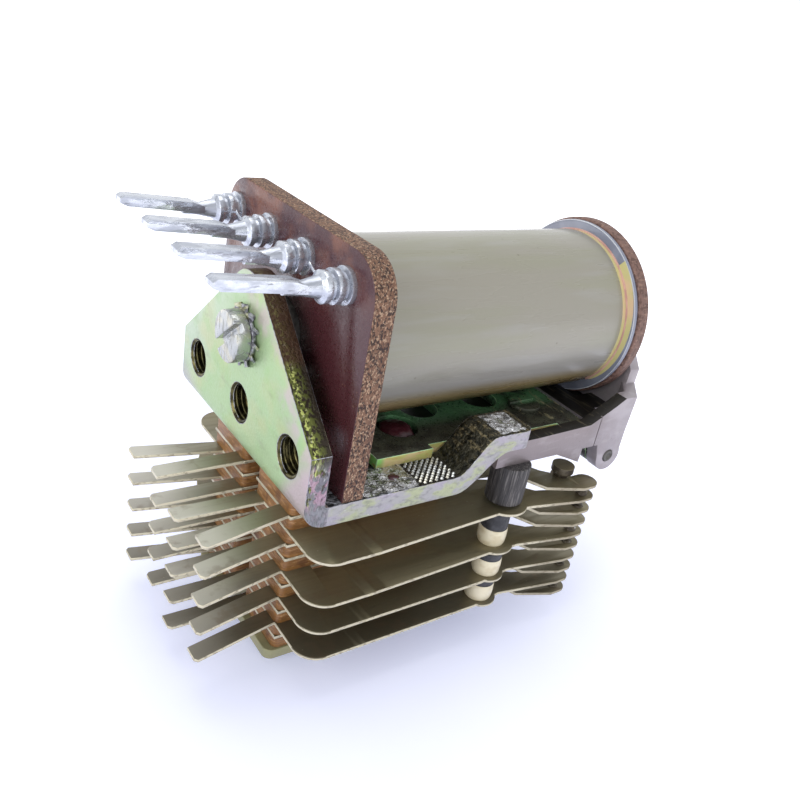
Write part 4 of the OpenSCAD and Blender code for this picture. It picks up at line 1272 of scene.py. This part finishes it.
def fuller(bm):
    """Fills out a fixed spring's arm beyond the studs, where the photograph shows it wide."""
    for vertex in bm.verts:
        x, y, z = vertex.co / MM
        if abs(x - ARM_X) < CLOSE and abs(y) > ARM_Y - 1:
            vertex.co.y = math.copysign(FULL_Y, y) * MM


for side in SIDES:
    for i in range(1, 7):
        dress(
            f"{side}_fixed_{i}", *SPRING_FINISHES, zone=spring_zone, width=SPRING_ROUND, steps=1,
            cuts=[(0, ARM_X)], prepare=fuller,
        )

# %% Join the moving springs
BEND_X = 10.0
BEND_FROM, BEND_TO = 8.5, 12.5
BEND_CUTS = 9
SEAM = 0.2


def joined_spring(side, i):
    """Joins a moving spring's root and blade: the walls at the bend go, and the rims meet."""
    root, blade = f"{side}_moving_{i}_root", f"{side}_moving_{i}_blade"
    bm = merged(root, blade)
    walls = []
    for face in bm.faces:
        at_bend = abs(face.calc_center_median().x / MM - BEND_X) < SEAM
        if at_bend and abs(face.normal.x) > 0.9 and face.calc_area() > 1 * MM * MM:
            walls.append(face)
    bmesh.ops.delete(bm, geom=walls, context="FACES_ONLY")
    for vertex in bm.verts:
        if abs(vertex.co.x / MM - BEND_X) < SEAM:
            vertex.co.x = BEND_X * MM
    bmesh.ops.remove_doubles(bm, verts=bm.verts, dist=CLOSE * MM)
    zoned(bm, SPRING_FINISHES, spring_zone)
    round_edges(bm, SPRING_ROUND, 1)
    for c in range(BEND_CUTS):
        cut_at(bm, 0, BEND_FROM + (BEND_TO - BEND_FROM) * c / (BEND_CUTS - 1))
    spring = seal(bm, f"{side}_moving_{i}_strip", *SPRING_FINISHES)
    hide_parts(root, blade)
    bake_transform(spring)


for side in SIDES:
    for i in range(1, 5):
        joined_spring(side, i)

# %% [markdown]
# ## Terminals
#
# Each terminal is a turned post with three collars and a flattened tail. All of it is tinned, and
# solder rounds every corner, so the bevels are wide. The lumps of the solder could be sculpted, but
# they are so fine that relief in the finish gives the same glints.

# %% Dress the terminals
dress("coil_terminals", SOLDER, width=0.16, steps=3)

# %% [markdown]
# ## Fine leads and lacquer
#
# Thin tinned wires run between neighbouring terminals. The CAD has them as plain tubes. Here each
# is a curve with a round bevel, which sags as the photograph shows. Red lacquer seals each clamp
# screw in its opening, and a drop of it lies on the rail: uneven, squeezed balls.

# %% Lay the leads
LEAD_RADIUS = 0.17
LEAD_SPAN = 4.6
LEAD_PATH = ((-0.3, 0.0, 0.2), (-0.5, 0.3, -0.5), (-0.5, 0.6, -0.6), (-0.2, 1.0, 0.1))


def tube(name, points, made):
    """A round, closed tube along some points (mm)."""
    curve = bpy.data.curves.new(name, "CURVE")
    curve.dimensions = "3D"
    curve.bevel_depth = LEAD_RADIUS * MM
    curve.bevel_resolution = 3
    curve.use_fill_caps = True
    line = curve.splines.new("NURBS")
    line.points.add(len(points) - 1)
    for target, point in zip(line.points, points):
        target.co = (*(Vector(point) * MM), 1)
    line.use_endpoint_u = True
    line.order_u = 4
    bm = bmesh.new()
    mesh = plain_mesh(new_object(name + "_curve", curve))
    bm.from_mesh(mesh)
    bmesh.ops.remove_doubles(bm, verts=bm.verts, dist=MERGE)
    bm.to_mesh(mesh)
    bm.free()
    mesh.materials.append(made)
    mesh.shade_smooth()
    return ride(show(name, mesh), "frame")


low, high, middle = box_mm("coil_leads")
for k, start_y in enumerate((low.y - 0.5, high.y - LEAD_SPAN + 0.5)):
    points = [(middle.x + x, start_y + LEAD_SPAN * y, high.z + z) for x, y, z in LEAD_PATH]
    lead = tube(f"lead_{k + 1}", points, SOLDER)
    if k == 0:
        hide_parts("coil_leads")

# %% Drop the lacquer
SEAL_Z, SEAL_RADII = -3.3, (2.2, 2.2, 0.9)


def blob(name, centre, radii):
    """A flattened drop: an even ball, squeezed and made uneven."""
    bm = bmesh.new()
    bmesh.ops.create_icosphere(bm, subdivisions=4, radius=1.0)
    for vertex in bm.verts:
        push = 1 + 0.12 * noise.noise(vertex.co * 1.7)
        vertex.co = (Vector(centre) + Vector([c * r * push for c, r in zip(vertex.co, radii)])) * MM
    ride(seal(bm, name, RED_LACQUER), "frame")


for name, side in SIDES.items():
    blob(name + "_seal", (CLAMP_SCREW_AT[0], side * CLAMP_SCREW_AT[1], SEAL_Z), SEAL_RADII)
blob("lacquer_drop", (12.55, -14.1, -3.98), (0.85, 0.7, 0.3))

# %% [markdown]
# ## The nodes that stay as they are
#
# The core, the winding, the sleeves and the clamp screws lie nearly out of sight. Dressing them
# would cost faces that nobody sees, so they keep their CAD meshes, with a finish in each slot.

# %% Finish the remaining nodes
REMAINING = {
    "core": DARK_STEEL, "coil_winding": MAGNET_WIRE, "screw_sleeves": IVORY,
    "clamp_screws": DARK_STEEL,
}
for node, made in REMAINING.items():
    for slot in NODES[node].material_slots:
        slot.material = made
print("kept nodes:", list(REMAINING))

# %% [markdown]
# ## Finish
#
# The box of the dressed model is printed, in mm.

# %% Print the box of the dressed model
low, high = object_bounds()
print("visual box (mm):", [round(c / MM, 2) for c in low], [round(c / MM, 2) for c in high])
